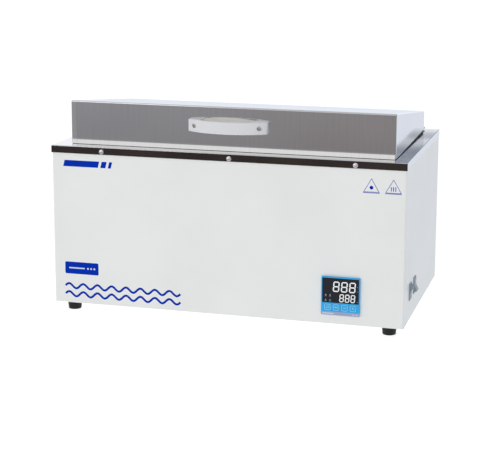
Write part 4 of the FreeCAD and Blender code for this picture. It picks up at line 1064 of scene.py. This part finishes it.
def studio_world():
    """Soft studio: bright round about, bluish right, dim in front below eye level and in bands higher up."""
    world = bpy.data.worlds.new("Studio")
    world.use_nodes = True
    tree = world.node_tree
    tree.nodes.clear()
    toward = add(tree, "ShaderNodeTexCoord", -1400, 0)
    parts = add(tree, "ShaderNodeSeparateXYZ", -1200, 0, {0: toward.outputs["Generated"]})

    def share(socket, low, high, y):
        return add(tree, "ShaderNodeMapRange", -1000, y,
                   {"Value": parts.outputs[socket], "From Min": low, "From Max": high},
                   interpolation_type="SMOOTHSTEP").outputs[0]

    def blend(factor, first, second, x, y):
        first, second = (value if isinstance(value, bpy.types.NodeSocket) else (*value, 1)
                         for value in (first, second))
        return add(tree, "ShaderNodeMix", x, y, {"Factor": factor, "A": first, "B": second},
                   data_type="RGBA").outputs["Result"]

    rearward = share("Y", -0.35, 0.35, 300)
    rightward = share("X", 0.10, 0.75, 100)
    across_front = share("X", -0.42, -0.14, -100)
    front_rise = share("Z", -0.185, -0.125, -200)
    upward = share("Z", -0.035, 0.03, -300)
    rear_band = share("Z", 0.157, 0.170, -400)
    band_reach = share("X", -0.36, -0.24, -450)
    front_band = share("Z", 0.48, 0.56, -500)
    overhead = share("Z", 0.70, 0.85, -550)
    rear_sky = share("Z", 0.26, 0.42, -600)
    front_foot = blend(across_front, (0.30, 0.30, 0.315), (0.275, 0.25, 0.247), -700, 500)
    front_low = blend(across_front, (0.36, 0.365, 0.385), (0.335, 0.315, 0.315), -700, 300)
    front_low = blend(front_rise, front_foot, front_low, -600, 400)
    low = blend(rearward, front_low, (0.83, 0.875, 0.96), -500, 400)
    rear_high = blend(band_reach, (1.12, 1.135, 1.17), (0.25, 0.29, 0.37), -700, 100)
    rear_high = blend(rear_band, (1.05, 1.08, 1.14), rear_high, -600, 100)
    rear_high = blend(rear_sky, rear_high, (0.62, 0.63, 0.66), -550, 100)
    front_high = blend(front_band, (0.98, 0.98, 0.97), (0.34, 0.32, 0.35), -700, -100)
    high = blend(rearward, front_high, rear_high, -500, 100)
    high = blend(rightward, high, (0.25, 0.26, 0.28), -300, 100)
    around = blend(upward, low, high, -100, 300)
    around = blend(overhead, around, (0.74, 0.75, 0.77), 100, 300)
    light = add(tree, "ShaderNodeBackground", 300, 200, {"Color": around, "Strength": 1.0})
    seen = add(tree, "ShaderNodeBackground", 300, 0, {"Color": (1, 1, 1, 1), "Strength": 1.0})
    ray = add(tree, "ShaderNodeLightPath", 300, 500)
    choice = add(tree, "ShaderNodeMixShader", 550, 200,
                 {0: ray.outputs["Is Camera Ray"], 1: light.outputs[0], 2: seen.outputs[0]})
    out = add(tree, "ShaderNodeOutputWorld", 750, 200)
    tree.links.new(choice.outputs[0], out.inputs["Surface"])
    return world


class BATH_OT_stage(bpy.types.Operator):
    """Pale floor, soft studio light and the camera"""
    bl_idname = "bath.stage"
    bl_label = "Stage"

    def execute(self, context):
        scene = context.scene
        bm = bmesh.new()
        bmesh.ops.create_grid(bm, x_segments=1, y_segments=1, size=FLOOR_HALF_WIDTH)
        for vert in bm.verts:
            vert.co.z = FLOOR_LEVEL
        floor = new_object("studio_floor", made_mesh("studio_floor", bm))
        finish = Finish("Pale floor", Roughness=0.9, Specular_IOR_Level=0.0, Emission_Strength=FLOOR_GLOW,
                        Emission_Color=(1, 1, 1, 1))
        skin = finish.use("pebble", 200, Size=0.02)
        tone = finish.tinted(skin["Variation"], (0.60, 0.60, 0.60), (0.62, 0.62, 0.62), 300)
        floor.data.materials.append(finish.feed(Base_Color=tone))
        floor.visible_glossy = False
        scene.world = studio_world()
        self.softbox("key_softbox", (-1.6, -2.6, 2.3), (1.2, 0.9), 6.0, (1.0, 0.995, 0.985))
        self.softbox("right_softbox", (2.6, -0.4, 1.9), (1.2, 1.6), 2.0, (0.92, 0.96, 1.0))
        lens = bpy.data.cameras.new("bench_camera")
        lens.sensor_fit = "HORIZONTAL"
        lens.sensor_width = 36.0
        lens.lens = CAMERA_LENS
        lens.shift_y = CAMERA_SHIFT
        camera = new_object("bench_camera", lens)
        camera.location = CAMERA_PLACE
        camera.rotation_euler = [math.radians(value) for value in CAMERA_TURN]
        scene.camera = camera
        scene.view_settings.view_transform = "Standard"
        return {"FINISHED"}

    def softbox(self, name, place, size, power, colour):
        lamp = bpy.data.lights.new(name, "AREA")
        lamp.shape, lamp.size, lamp.size_y = "RECTANGLE", size[0], size[1]
        lamp.energy, lamp.color = power, colour
        box = new_object(name, lamp)
        box.location = place
        box.rotation_euler = (LAMP_TARGET - Vector(place)).to_track_quat("-Z", "Y").to_euler()


class BATH_PT_panel(bpy.types.Panel):
    """Lists the pieces of the water bath"""
    bl_idname = "BATH_PT_panel"
    bl_label = "Water bath"
    bl_space_type = "VIEW_3D"
    bl_region_type = "UI"
    bl_category = "Water bath"

    def draw(self, context):
        column = self.layout.column()
        for settings in (context.scene.bath_sizes, context.scene.bath_colours):
            for name in settings.__annotations__:
                column.prop(settings, name)
        for operator in OPERATORS:
            column.operator(operator.bl_idname)


OPERATORS = (BATH_OT_cabinet, BATH_OT_deck, BATH_OT_lid, BATH_OT_screws, BATH_OT_controller, BATH_OT_switches,
             BATH_OT_prints, BATH_OT_fittings, BATH_OT_insulation, BATH_OT_stage)
CLASSES = (BathSizes, BathColours) + OPERATORS + (BATH_PT_panel,)


def register():
    for item in CLASSES:
        bpy.utils.register_class(item)
    bpy.types.Scene.bath_sizes = bpy.props.PointerProperty(type=BathSizes)
    bpy.types.Scene.bath_colours = bpy.props.PointerProperty(type=BathColours)


def unregister():
    del bpy.types.Scene.bath_sizes
    del bpy.types.Scene.bath_colours
    for item in reversed(CLASSES):
        bpy.utils.unregister_class(item)


def main():
    register()
    bpy.ops.bath.cabinet()
    bpy.ops.bath.deck()
    bpy.ops.bath.lid()
    bpy.ops.bath.screws()
    bpy.ops.bath.controller()
    bpy.ops.bath.switches()
    bpy.ops.bath.prints()
    bpy.ops.bath.fittings()
    bpy.ops.bath.insulation()
    bpy.ops.bath.stage()


if __name__ == "__main__":
    main()
